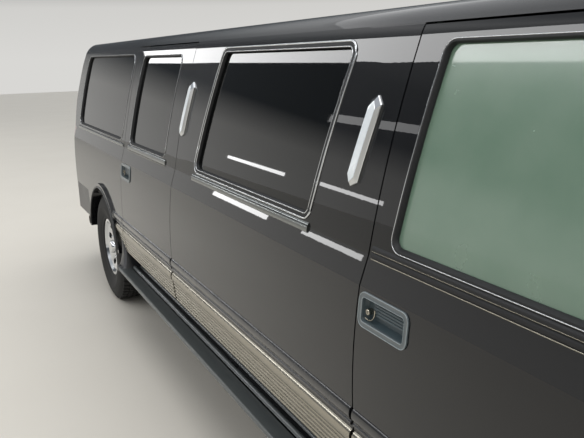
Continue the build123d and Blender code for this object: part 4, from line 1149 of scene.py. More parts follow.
@dataclass
class WindowTrim:
    """The rubber seal round each side window and the bright beads that edge it."""

    outside: float = 0.005
    bright_outside: float = 0.013
    inside: float = 0.008
    depth: float = 0.0135
    bead_proud: float = 0.0015
    longest_step: float = 0.09

    def build(self) -> None:
        """Adds a seal and its beads to each opening on both sides."""
        for side in Side:
            for opening in SIDE_WINDOWS:
                bright = opening.name == "lounge_window"
                outside = self.bright_outside if bright else self.outside
                seal = self.seal(opening, side, outside, 0.004 if bright else 0.0025)
                body = opening.body(side)
                settle(seal, f"{opening.name}_seal_{side.word}", SEAL_RUBBER, body)
                beads = [self.bead(opening, side, -outside, 0.0038 if bright else 0.0016)]
                if bright:
                    beads.append(self.bead(opening, side, 0.004, 0.0022))
                settle(joined(beads), f"{opening.name}_beads_{side.word}", CHROME, body, 60)

    def seal(self, opening: Opening, side: Side, outside: float, proud: float) -> Piece:
        """One seal, rolled from outside the opening in to its glass.

        Args:
            opening: the window.
            side: the side.
            outside: how far it reaches past the opening.
            proud: how far it stands proud.

        Returns:
            The seal.
        """
        rows = (
            (-outside, -0.001), (-outside, proud * 0.6), (-outside * 0.5, proud),
            (0.002, proud * 0.8), (self.inside, -self.depth * 0.6), (self.inside, -self.depth),
            (0.001, -self.depth), (0.001, -0.001),
        )
        return band([self.ring(opening, side, inset, stand) for inset, stand in rows], closed=True)

    def bead(self, opening: Opening, side: Side, inset: float, radius: float) -> Piece:
        """A thin bead round the opening."""
        return tube(self.ring(opening, side, inset, self.bead_proud), radius)

    def ring(self, opening: Opening, side: Side, inset: float, stand: float) -> list[Point]:
        """The opening's outline on the side, moved in by inset and standing proud.

        Args:
            opening: the window.
            side: the side.
            inset: how far it is moved in.
            stand: how far it stands proud.

        Returns:
            The ring's points.
        """
        flat = rounded_outline(inset_outline(opening.corners, inset), opening.radius - inset)
        dense: list[Flat] = []
        for (x, z), (next_x, next_z) in zip(flat, [*flat[1:], flat[0]]):
            dx, dz = next_x - x, next_z - z
            parts = max(1, int(hypot(dx, dz) / self.longest_step))
            dense += [(x + dx * k / parts, z + dz * k / parts) for k in range(parts)]
        return BODY.on_side(dense, side, stand)


@dataclass
class PillarLamps:
    """Tall bright lamp covers on the let-in section's pillars, cut like a long hipped roof."""

    centres: tuple[float, float] = (0.928, -0.652)
    middle_z: float = 1.546
    half_height: float = 0.136
    half_width: float = 0.027
    tip: float = 0.02
    lean: float = radians(12)
    # How far each ring is moved in, and how far it stands proud of the paint.
    cover: Flats = (
        (0.0, -0.002), (0.0, 0.005), (0.0012, 0.0075), (0.01, 0.017), (0.0115, 0.0178),
    )
    lens: Flats = ((0.01, 0.016), (0.0105, 0.0186), (0.012, 0.0192))

    def build(self) -> None:
        """Adds the covers in place of the plain bars, and a milky lens on each."""
        for side in Side:
            covers, lenses = self.pair(side, self.cover), self.pair(side, self.lens)
            settle(covers, f"pillar_lamp_covers_{side.word}", CHROME, smooth=12)
            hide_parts(f"pillar_lamps_{side.word}")
            settle(lenses, f"pillar_lamp_lenses_{side.word}", MILKY_LENS, smooth=20)

    def pair(self, side: Side, rows: Sequence[Flat]) -> Piece:
        """Both pillars' bars on a side, drawn through the rings of the given rows.

        Args:
            side: the side.
            rows: each ring's inset and stand.

        Returns:
            The joined bars.
        """
        bars = []
        for centre in self.centres:
            rings = [BODY.on_side(self.outline(centre, inset), side, stand) for inset, stand in rows]
            bars.append(band(rings, caps=True))
        return joined(bars)

    def outline(self, centre: float, inset: float) -> list[Flat]:
        """The bar's pointed outline on the side, moved in by inset.

        Args:
            centre: its middle in x.
            inset: how far it is moved in.

        Returns:
            The outline's points.
        """
        h, w, t = self.half_height - inset * 1.5, self.half_width - inset, self.tip
        right = [(w, -h + t), (w, -h / 3), (w, h / 3), (w, h - t)]
        left = [(-a, b) for a, b in reversed(right)]
        c, s = cos(self.lean), sin(self.lean)
        return [
            (centre + a * c + b * s, self.middle_z - a * s + b * c)
            for a, b in [(0, -h), *right, (0, h), *left]
        ]


@dataclass
class PullHandle:
    """A recessed door pull: bezel, dished bowl, ridged paddle, lock and grip."""

    length: float = 0.208
    height: float = 0.084
    inset: float = 0.024
    centre_z: float = 1.09
    corner: float = 0.017
    bowl_y: float = 0.9645
    paddle_z: Flat = (1.081, 1.124)
    lock_inset: float = 0.026
    lock_drop: float = 0.006
    # How far each of the bezel's rings is grown, and how far it stands proud of the paint.
    bezel: Flats = (
        (0.01, -0.001), (0.01, 0.003), (0.008, 0.0048), (0.005, 0.004), (-0.003, 0.004),
        (-0.005, 0.0048), (-0.007, 0.003), (-0.007, -0.004), (0.0, -0.004),
    )

    def build(self) -> None:
        """Adds the pulls of the four side doors."""
        for side in Side:
            for door, back, _ in DOORS:
                edge, body = back + self.inset, f"{door}_{side.word}"
                rings = [self.ring(side, edge, grow, stand) for grow, stand in self.bezel]
                settle(band(rings, closed=True), f"{door}_pull_bezel_{side.word}", PULL_GREY, body, 35)
                self.bowl(side, door, edge)
                self.lock_and_grip(side, door, edge)

    def outline(self, edge: float, grow: float) -> list[Flat]:
        """The rounded outline in front of its edge in x, grown or shrunk.

        Args:
            edge: its edge in x.
            grow: how far it is grown.

        Returns:
            The outline's points.
        """
        half = self.height / 2 + grow
        low = (edge - grow, self.centre_z - half)
        high = (edge + self.length + grow, self.centre_z + half)
        return rounded_outline(rectangle(low, high), self.corner + grow)

    def ring(self, side: Side, edge: float, grow: float, stand: float) -> list[Point]:
        """The outline laid on the side, grown, and standing proud."""
        return BODY.on_side(self.outline(edge, grow), side, stand)

    def bowl(self, side: Side, door: str, edge: float) -> None:
        """Adds the dished bowl, the pale edge beads that carry a painted highlight, and the ridged
        paddle.

        Args:
            side: the side.
            door: the door's name.
            edge: its edge in x.
        """
        body = f"{door}_{side.word}"
        bowl = band([
            self.ring(side, edge, -0.0065, -0.002),
            self.ring(side, edge, -0.008, -0.008),
            [(x, side.value * self.bowl_y, z) for x, z in self.outline(edge, -0.014)],
        ])
        make_active(bowl)
        with edit_mode():
            bpy.ops.mesh.select_all(action="DESELECT")
        for vertex in bowl.data.vertices:
            vertex.select = abs(abs(vertex.co.y) - self.bowl_y) < SAME_PLACE
        bpy.ops.object.mode_set(mode="EDIT")
        bpy.ops.mesh.edge_face_add()
        bpy.ops.object.mode_set(mode="OBJECT")
        apply_modifier(bowl, "SOLIDIFY", thickness=0.0012, offset=0)
        settle(bowl, f"{door}_pull_bowl_{side.word}", PULL_BOWL, body)
        # Pale beads along the bezel's edges: a painted highlight where the edges catch the light.
        edges = [
            tube(self.ring(side, edge, grow, 0.0042), radius)
            for grow, radius in ((0.0085, 0.0013), (-0.0055, 0.001))
        ]
        settle(joined(edges), f"{door}_pull_edges_{side.word}", PULL_EDGE_HIGHLIGHT, body, 60)
        foot, head = self.paddle_z
        ridges = [(proud - 0.012, z) for proud, z in ribs(foot, head, 5, 0.0, 0.0035)[1:-1]]
        section = [(-0.019, foot - 0.001), *ridges, (-0.019, head + 0.001)]
        paddle = side_strip(side, edge + 0.052, edge + self.length - 0.014, section)
        settle(paddle, f"{door}_pull_paddle_{side.word}", PULL_BOWL, body, 30)

    def lock_and_grip(self, side: Side, door: str, edge: float) -> None:
        """Adds the lock's barrel with its key slot, and the bent grip round it.

        Args:
            side: the side.
            door: the door's name.
            edge: its edge in x.
        """
        body, s = f"{door}_{side.word}", side.value
        x, z = edge + self.lock_inset, self.centre_z - self.lock_drop
        y = BODY.reach(z)
        barrel = rod((x, s * self.bowl_y, z), (x, s * (y - 0.003), z), 0.0095, 32)
        slot = block(
            (x - 0.0008, s * (y - 0.0035), z - 0.004), (x + 0.0008, s * (y - 0.0022), z + 0.004)
        )
        settle(barrel, f"{door}_lock_{side.word}", STAINLESS, body, 35)
        settle(slot, f"{door}_lock_slot_{side.word}", SEAL_RUBBER, body, 35)
        grip = arc_bead(side, (x, y - 0.006, z + 0.01), 0.034, (0.0022, 0.0022), (-115, 10), 16, 8)
        settle(grip, f"{door}_pull_grip_{side.word}", STAINLESS, body, 50)


# Wheels


@dataclass
class Wheel:
    """A road wheel's details: treaded tyre, lug nuts, hub cap and valve."""

    name: str
    body: str
    axle: float
    side: Side
    middle: float = 0.865
    tyre_radius: float = 0.402
    groove_depth: float = 0.01
    pitches: int = 60
    lugs: int = 8
    lug_circle: float = 0.0825
    # Half of the tyre's wall from bead to tread, as radius and place across.
    wall: Flats = (
        (0.2165, 0.1), (0.222, 0.109), (0.232, 0.1125), (0.24, 0.1115), (0.246, 0.1145),
        (0.262, 0.1205), (0.285, 0.1265), (0.3, 0.13), (0.306, 0.1318), (0.318, 0.132),
        (0.324, 0.1305), (0.34, 0.129), (0.358, 0.1245), (0.372, 0.118), (0.382, 0.11),
    )
    tread_edge: float = 0.1
    # Each row of tread blocks: its two edges across, the share of a pitch that is
    # groove, and how far the row is moved round, in pitches.
    rows: tuple[tuple[float, float, float, float], ...] = (
        (-0.104, -0.062, 0.3, 0.0), (-0.054, -0.023, 0.22, 0.35), (-0.016, 0.016, 0.18, 0.0),
        (0.023, 0.054, 0.22, 0.65), (0.062, 0.104, 0.3, 0.5),
    )
    block_skew: float = 0.004
    shoulder_from: float = 0.06
    shoulder_drop: float = 0.004
    # The hub cap's section, as radius and place outwards from its foot.
    cap: Flats = (
        (0.0, 0.0), (0.058, 0.0), (0.058, 0.03), (0.055, 0.036), (0.05, 0.038), (0.046, 0.06),
        (0.04, 0.066), (0.0, 0.068),
    )

    @property
    def centre(self) -> Point:
        """The wheel's middle point."""
        return (self.axle, self.side.value * self.middle, HUB_Z)

    def build(self) -> None:
        """Adds the tyre, the cap, the nuts and the valve."""
        self.tyre()
        self.hub()

    def tyre(self) -> None:
        """Adds the tyre in place of its plain ring."""
        half = [*self.wall, (self.tyre_radius - self.groove_depth, self.tread_edge)]
        carcass = spun([*half, *((r, -a) for r, a in reversed(half))], self.centre, "Y", 72)
        tyre = joined([carcass, self.tread()])
        settle(tyre, f"{self.name}_tyre", TYRE_RUBBER, self.body, 30)
        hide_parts(f"tyre_{self.name}")

    def tread(self) -> Piece:
        """One pitch of tread blocks, repeated round the tyre."""
        pitch = joined([self.tread_block(*row) for row in self.rows])
        nothing_selected()
        bpy.ops.object.empty_add(location=(0, 0, 0))
        turner = bpy.context.object
        turn = Matrix.Rotation(2 * pi / self.pitches, 4, "Y")
        back = Matrix.Translation([-c for c in self.centre])
        turner.matrix_world = Matrix.Translation(self.centre) @ turn @ back
        make_active(pitch)
        bpy.context.view_layer.update()
        apply_modifier(
            pitch, "ARRAY", use_relative_offset=False, use_object_offset=True, offset_object=turner,
            count=self.pitches,
        )
        bpy.data.objects.remove(turner)
        return pitch

    def tread_block(self, inner: float, outer: float, groove: float, shift: float) -> Piece:
        """One tread block: skewed, and lower at the tyre's shoulders.

        Args:
            inner: its first edge across the tyre.
            outer: its second edge across the tyre.
            groove: the share of a pitch that is groove.
            shift: how far it is moved round, in pitches.

        Returns:
            The new object.
        """
        x, y, z = self.centre
        high = self.tyre_radius
        step = 2 * pi * high / self.pitches
        half = step * (1 - groove) / 2
        middle = x + step * shift
        skew = self.block_skew if inner < 0 else -self.block_skew
        at_shoulder = abs(inner + outer) / 2 > self.shoulder_from
        low = high - self.groove_depth - 0.002 - (0.003 if at_shoulder else 0.0)
        ends = []
        for across, lean in ((inner, -skew), (outer, skew)):
            top = high - (self.shoulder_drop if at_shoulder and abs(across) > 0.1 else 0.0)
            section = rectangle((middle - half + lean, low), (middle + half + lean, top))
            ends.append([(px, y + across, z + up) for px, up in section])
        piece = band(ends, caps=True)
        bevel_edges(piece, 0.0012, 1)
        return piece

    def hub(self) -> None:
        """Adds the hub cap, the lug nuts with their washers, and the valve."""
        x, y, z = self.centre
        out = self.side.value
        cap = spun([(r, out * a) for r, a in self.cap], (x, y + out * 0.04, z), "Y", 48)
        settle(cap, f"{self.name}_hub_cap", CHROME, self.body, 35)
        nuts = []
        for angle in turns(self.lugs):
            px, pz = x + self.lug_circle * cos(angle), z + self.lug_circle * sin(angle)
            nothing_selected()
            bpy.ops.mesh.primitive_cylinder_add(
                vertices=6, radius=0.0125, depth=0.026, location=(px, y + out * 0.064, pz),
                rotation=(radians(90), 0, angle),
            )
            nut = bpy.context.object
            apply_transform()
            bevel_edges(nut, 0.002, 2)
            nuts += [nut, rod((px, y + out * 0.048, pz), (px, y + out * 0.054, pz), 0.0165, 20)]
        settle(joined(nuts), f"{self.name}_lug_nuts", CHROME, self.body, 30)
        valve = rod((x + 0.176, y + out * 0.06, z), (x + 0.172, y + out * 0.096, z), 0.004, 12)
        settle(valve, f"{self.name}_valve", SEAL_RUBBER, self.body)


WHEELS = tuple(
    Wheel(f"{end}_{side.word}", f"wheel_{end}_{side.word}", axle, side)
    for end, axle in (("front", FRONT_AXLE), ("rear", REAR_AXLE))
    for side in Side
)


# Front, tail, mirrors and boards

PLATE_Z = 0.64
PLATE_HOLE_Y, PLATE_HOLE_Z = 0.0889, 0.0603


def x_front(y: float, proud: float = 0.0) -> float:
    """The bowed front clip's face at a place across the vehicle, by the lamps and grille."""
    edge, bow, half = 3.628, 0.04, 1.005
    return edge + bow * (1 - (y / half) ** 2) + proud


def plate_bolts(name: str, inner: float, outer: float) -> None:
    """Adds the bolts through a number plate's four holes.

    Args:
        name: the bolts' name.
        inner: where they start in x.
        outer: where their heads end in x.
    """
    bolts = [
        rod((inner, y, PLATE_Z + z), (outer, y, PLATE_Z + z), 0.006, 16)
        for y in (-PLATE_HOLE_Y, PLATE_HOLE_Y) for z in (-PLATE_HOLE_Z, PLATE_HOLE_Z)
    ]
    settle(joined(bolts), name, STAINLESS)


@dataclass
class FrontEnd:
    """Lamp fittings, grille insert, bumper trim and wipers."""

    lamp_z: Flat = (0.886, 1.078)
    beam_y: Flat = (0.47, 0.8)
    signal_y: Flat = (0.822, 0.925)
    lamp_corner: float = 0.012
    flutes: int = 14
    grille_y: float = 0.377
    mesh_wire: float = 0.003
    bars_z: tuple[float, ...] = (0.912, 0.96, 1.008)
    bar_half: float = 0.388
    # The rub strip's section: how far it stands proud, and its height.
    rub: Flats = (
        (-0.003, 0.735), (0.006, 0.738), (0.01, 0.75), (0.01, 0.772), (0.006, 0.784),
        (-0.003, 0.787),
    )
    rub_half: float = 0.9
    bumper_half: float = 0.985
    bumper_corner: float = 0.24
    bumper_bow: float = 0.046
    screen_foot: Flat = (2.356, 1.262)
    screen_slope: float = 0.775

    def build(self) -> None:
        """Adds every front fitting."""
        for side in Side:
            self.lamp(side)
            self.wiper(side)
        self.grille_mesh()
        self.grille_bars()
        self.bumper_trim()

    def lamp(self, side: Side) -> None:
        """Adds the bezels, the amber signal and the flutes in front of a lamp's lens block.

        Args:
            side: the side.
        """
        s = side.value
        z0, z1 = self.lamp_z

        def place(y: float, z: float, out: float) -> Point:
            """A point on the lamp's face."""
            return (x_front(y, out), s * y, z)

        for name, (y0, y1), stand in (("beam", self.beam_y, 0.0055), ("signal", self.signal_y, 0.005)):
            corners = rectangle((y0, z0), (y1, z1))
            crest = (0.003, stand + 0.003)
            rows = ((0.008, -0.004), (0.008, stand), crest, (-0.002, stand), (-0.002, -0.004))
            bezel = rolled(corners, self.lamp_corner, rows, place, 4)
            settle(bezel, f"{name}_lamp_bezel_{side.word}", CHROME, smooth=35)
        rows = ((0.0, -0.003), (0.0, 0.003))
        plate = rolled(corners, self.lamp_corner, rows, place, 4, plate=True)
        settle(plate, f"signal_lamp_{side.word}", AMBER_LENS, smooth=35)
        y0, y1 = self.beam_y
        flutes = []
        for index in range(self.flutes):
            near, far = (y0 + (y1 - y0) * (index + share) / self.flutes for share in (0.15, 0.85))
            low = (x_front(near, -0.001), s * near, z0 + 0.008)
            high = (x_front(near, 0.002), s * far, z1 - 0.008)
            flutes.append(block(low, high, 0.0012, 1))
        settle(joined(flutes), f"beam_lamp_flutes_{side.word}", LAMP_LENS, smooth=35)

    def grille_mesh(self) -> None:
        """Adds the dark mesh behind the grille's bars."""
        y1 = self.grille_y
        wire = self.mesh_wire
        bars = [
            block((3.56, y - wire, 0.872), (3.572, y + wire, 1.044)) for y in spaced(-y1, y1, 26)
        ]
        bars += [
            block((3.556, -0.38, z - wire), (3.566, 0.38, z + wire))
            for z in spaced(0.876, 1.04, 6)
        ]
        settle(joined(bars), "grille_mesh", MOULDED_BLACK)

    def grille_bars(self) -> None:
        """Adds rounded bright faces on the grille's bars."""
        for index, z in enumerate(self.bars_z):
            rings = [
                [(x_front(y, -0.014 + 0.005 * cos(t)), y, z + 0.012 * sin(t)) for t in turns(10)]
                for y in spaced(-self.bar_half, self.bar_half, 24)
            ]
            settle(band(rings, caps=True), f"grille_bar_face_{index + 1}", CHROME, smooth=60)

    def bumper_trim(self) -> None:
        """Adds the front bumper's black rub strip, and the blank plate with its bolts."""
        rings = [
            [(self.bumper_face(y) + proud, y, z) for proud, z in self.rub]
            for y in spaced(-self.rub_half, self.rub_half, 60)
        ]
        settle(band(rings, caps=True), "front_bumper_rub_strip", MOULDED_BLACK, smooth=35)
        plate = block((3.766, -0.156, 0.562), (3.774, 0.156, 0.718), 0.003)
        settle(plate, "front_plate_blank", MOULDED_BLACK)
        plate_bolts("front_plate_bolts", 3.77, 3.7785)

    def bumper_face(self, y: float) -> float:
        """The front bumper's face by its bowed plan, with a round corner at each side.

        Args:
            y: the place across.

        Returns:
            The face's place in x.
        """
        half, corner, bow = self.bumper_half, self.bumper_corner, self.bumper_bow
        flat = half - corner
        beyond = abs(y) - flat
        if beyond > 0:
            return NOSE - bow * (flat / half) ** 2 - (corner - sqrt(max(corner**2 - beyond**2, 0)))
        radius = (half**2 + bow**2) / (2 * bow)
        return NOSE - radius + sqrt(radius**2 - y**2)

    def on_screen(self, y: float, z: float, lift: float) -> Point:
        """A point that stands off the windscreen's glass by lift.

        Args:
            y: the place across.
            z: the height.
            lift: how far off the glass.

        Returns:
            The point.
        """
        foot, slope = self.screen_foot, self.screen_slope
        length = sqrt(1 + slope**2)
        return (foot[0] - slope * (z - foot[1]) + lift / length, y, z + lift * slope / length)

    def wiper(self, side: Side) -> None:
        """Adds one windscreen wiper: spindle, arm and blade lying on the glass.

        Args:
            side: the side.
        """
        x, y = 2.392, 0.1 + side.value * 0.36
        tip = self.on_screen(y - 0.4, 1.335, 0.022)
        blade, spine = (
            rod(
                self.on_screen(tip[1] - half, z0, lift), self.on_screen(tip[1] + half, z1, lift),
                radius, sides,
            )
            for half, z0, z1, lift, radius, sides in (
                (0.24, 1.31, 1.365, 0.008, 0.0065, 12), (0.15, 1.32, 1.354, 0.018, 0.0035, 10),
            )
        )
        spindle = rod((x, y, 1.25), (x, y, 1.29), 0.014)
        arm = rod((x, y, 1.285), tip, 0.0055, 12)
        wiper = joined([spindle, arm, blade, spine])
        settle(wiper, f"windscreen_wiper_{side.word}", MOULDED_BLACK)


@dataclass
class TailEnd:
    """Step pad, plate, hatch seal and wiper, lamp bars, pulls and the high brake lamp."""

    waist_z: float = 1.24
    # How far the face leans in, and over what height.
    below_waist: Flat = (0.008, 0.94)
    above_waist: Flat = (0.078, 0.52)
    pane: Flats = ((-0.64, 1.212), (0.64, 1.212), (0.59, 1.8), (-0.59, 1.8))
    pane_radius: float = 0.045
    # How far each of the seal's rings is grown, and its place in x from the tail's face.
    seal: Flats = (
        (0.008, 0.001), (0.008, -0.002), (0.002, -0.004), (-0.008, 0.006), (-0.008, 0.013),
        (0.0, 0.013),
    )
    bars_z: tuple[float, ...] = (0.852, 0.978, 1.106, 1.232)
    pad_ribs: int = 8
    pad_pitch: float = 0.0107

    def build(self) -> None:
        """Adds every tail fitting."""
        self.step_pad()
        self.plate()
        self.hatch_seal()
        self.wiper()
        for side in Side:
            self.lamp_bars(side)
        self.pulls()
        self.high_lamp()

    def face(self, z: float) -> float:
        """The tail's middle line in x at a height: upright below, raked above the waist.

        Args:
            z: the height.

        Returns:
            The place in x.
        """
        if z < self.waist_z:
            tuck, height = self.below_waist
            return TAIL + tuck * (self.waist_z - z) / height
        tuck, height = self.above_waist
        return TAIL + tuck * (z - self.waist_z) / height

    def step_pad(self) -> None:
        """Adds the ribbed pad on top of the rear bumper."""
        rows = [block((-3.75, -0.6, 0.759), (-3.662, 0.6, 0.763), 0.001, 1)]
        for index in range(self.pad_ribs):
            x = -3.744 + index * self.pad_pitch
            rows.append(block((x, -0.59, 0.762), (x + 0.005, 0.59, 0.766), 0.001, 1))
        # The pad's mid grey is the tread finish's painted sheen on black plastic.
        settle(joined(rows), "rear_step_pad", TREAD_PAINTED_SHEEN, slot="black_plastic")

    def plate(self) -> None:
        """Adds the blank number plate and its bolts."""
        plate = block((-3.7745, -0.153, 0.564), (-3.77, 0.153, 0.716), 0.004)
        settle(plate, "rear_plate_blank", STAINLESS)
        plate_bolts("rear_plate_bolts", -3.7715, -3.7785)

    def hatch_seal(self) -> None:
        """Adds the seal round the hatch's pane."""
        seal = rolled(
            self.pane, self.pane_radius, self.seal, lambda y, z, out: (self.face(z) + out, y, z), 8
        )
        settle(seal, "hatch_window_seal", SEAL_RUBBER, "hatch")

    def wiper(self) -> None:
        """Adds the hatch's wiper."""
        x, z = self.face(1.19) - 0.004, 1.186
        spindle = rod((x + 0.006, 0, z), (x - 0.022, 0, z), 0.016)
        arm = rod((x - 0.016, 0, z), (self.face(1.27) - 0.02, 0.3, 1.27), 0.005, 12)
        start, end = (self.face(1.25) - 0.01, 0.08, 1.236), (self.face(1.3) - 0.01, 0.5, 1.302)
        blade = rod(start, end, 0.006, 12)
        settle(joined([spindle, arm, blade]), "hatch_wiper", MOULDED_BLACK, "hatch")

    def lamp_bars(self, side: Side) -> None:
        """Adds the bright bars that divide a rear lamp.

        Args:
            side: the side.
        """
        s = side.value
        for index, z in enumerate(self.bars_z):
            low, high = (TAIL - 0.012, s * 0.772, z - 0.004), (TAIL + 0.006, s * 0.88, z + 0.004)
            settle(block(low, high, 0.002), f"tail_lamp_bar_{index + 1}_{side.word}", CHROME)

    def pulls(self) -> None:
        """Adds the pulls on the lower tail doors and the hatch."""
        x = self.face(1.04)
        handle = joined([
            block((x - 0.014, -0.155, 1.03), (x + 0.002, -0.045, 1.066), 0.006, 3),
            block((x - 0.018, -0.145, 1.036), (x - 0.012, -0.06, 1.052), 0.003),
        ])
        settle(handle, "tail_door_pull", MOULDED_BLACK, "tail_door_right")
        strip = block((TAIL - 0.02, -0.3, 1.146), (TAIL - 0.004, 0.3, 1.176), 0.005, 3)
        settle(strip, "hatch_pull", MOULDED_BLACK, "hatch")

    def high_lamp(self) -> None:
        """Adds the high brake lamp on the hatch, above its glass."""
        x = self.face(1.842)
        lens = block((x - 0.01, -0.14, 1.832), (x + 0.008, 0.14, 1.852), 0.004)
        settle(lens, "high_brake_lamp", RED_LENS, "hatch")


@dataclass
class Mirrors:
    """The door mirrors' glass, bezel and folding joint."""

    face_x: float = 2.084
    low: Flat = (1.072, 1.266)
    high: Flat = (1.21, 1.478)
    corner: float = 0.022
    pivot: Flat = (2.15, 1.03)
    # How far each of the bezel's rings is grown, and its place in x from the face.
    bezel: Flats = (
        (0.006, 0.004), (0.006, -0.003), (0.0, -0.005), (-0.004, -0.002), (-0.004, 0.004),
    )

    def build(self) -> None:
        """Adds the bezel, the glass and the pivot on each door's mirror."""
        corners = rectangle(self.low, self.high)
        for side in Side:
            s, body = side.value, f"front_door_{side.word}"

            def place(y: float, z: float, out: float, sign: int = s) -> Point:
                """A point on the mirror's face."""
                return (self.face_x + out, sign * y, z)

            bezel = rolled(corners, self.corner, self.bezel, place, 5)
            settle(bezel, f"mirror_bezel_{side.word}", MOULDED_BLACK, body)
            glass = rolled(corners, self.corner, ((0.0, 0.003), (0.0, -0.0015)), place, 5, plate=True)
            settle(glass, f"mirror_glass_{side.word}", CHROME, body, 20)
            x, y = self.pivot
            pivot = rod((x, s * y, 1.238), (x, s * y, 1.288), 0.022)
            settle(pivot, f"mirror_pivot_{side.word}", MOULDED_BLACK, body)


@dataclass
class Boards:
    """The running boards' tread, ridge, gutter, moulded ends and stone guards."""

    back: float = -1.871
    fore: float = 2.226
    # The tread's section, as places outwards and heights.
    section: Flats = (
        (1.059, 0.4228), (1.059, 0.4265), (1.056, 0.4292), (1.05, 0.4296), (1.045, 0.4268),
        (0.984, 0.4262), (0.982, 0.424), (0.974, 0.424), (0.972, 0.4262), (0.968, 0.4335),
        (0.96, 0.436), (0.952, 0.4335), (0.948, 0.4262), (0.946, 0.4238), (0.926, 0.4238),
        (0.924, 0.4262), (0.92, 0.431), (0.914, 0.4325), (0.908, 0.431), (0.905, 0.4262),
        (0.905, 0.4228),
    )
    edge: Flats = (
        (1.048, 0.4), (1.055, 0.404), (1.059, 0.411), (1.058, 0.417), (1.052, 0.4235),
        (1.048, 0.424),
    )
    # The stone guard's rings: height, then its ends along and its faces outwards.
    guard_rings: tuple[tuple[float, Flat, Flat], ...] = (
        (0.424, (-1.89, -1.765), (0.905, 1.04)), (0.45, (-1.898, -1.785), (0.912, 1.025)),
        (0.5, (-1.915, -1.82), (0.925, 1.008)), (0.56, (-1.935, -1.865), (0.945, 1.0)),
        (0.6, (-1.945, -1.895), (0.96, 0.996)),
    )

    def build(self) -> None:
        """Adds both boards' trim."""
        for side in Side:
            s = side.value
            for name, section in (("tread", self.section), ("edge", self.edge)):
                ends = (self.back + 0.01, self.fore - 0.01)
                strip = band([[(x, s * y, z) for y, z in section] for x in ends], caps=True)
                # The board's mid grey is a painted sheen on black plastic.
                settle(strip, f"board_{name}_{side.word}", TREAD_PAINTED_SHEEN, smooth=50)
            for place, x0, x1 in (
                ("rear", self.back - 0.004, self.back + 0.06),
                ("front", self.fore - 0.06, self.fore + 0.004),
            ):
                shoe = block((x0, s * 0.88, 0.394), (x1, s * 1.06, 0.434), 0.01, 3)
                settle(shoe, f"board_shoe_{place}_{side.word}", MOULDED_BLACK, slot="board_rubber")
            self.guard(side)

    def guard(self, side: Side) -> None:
        """Adds the moulded stone guard that rises from a board to the rear arch.

        Args:
            side: the side.
        """
        rings = []
        for z, (x0, x1), (y0, y1) in self.guard_rings:
            flat = rounded_outline(rectangle((x0, y0), (x1, y1)), 0.016, 4)
            rings.append([(x, side.value * y, z) for x, y in flat])
        settle(band(rings, caps=True), f"stone_guard_{side.word}", MOULDED_BLACK, smooth=50)


# Cabin


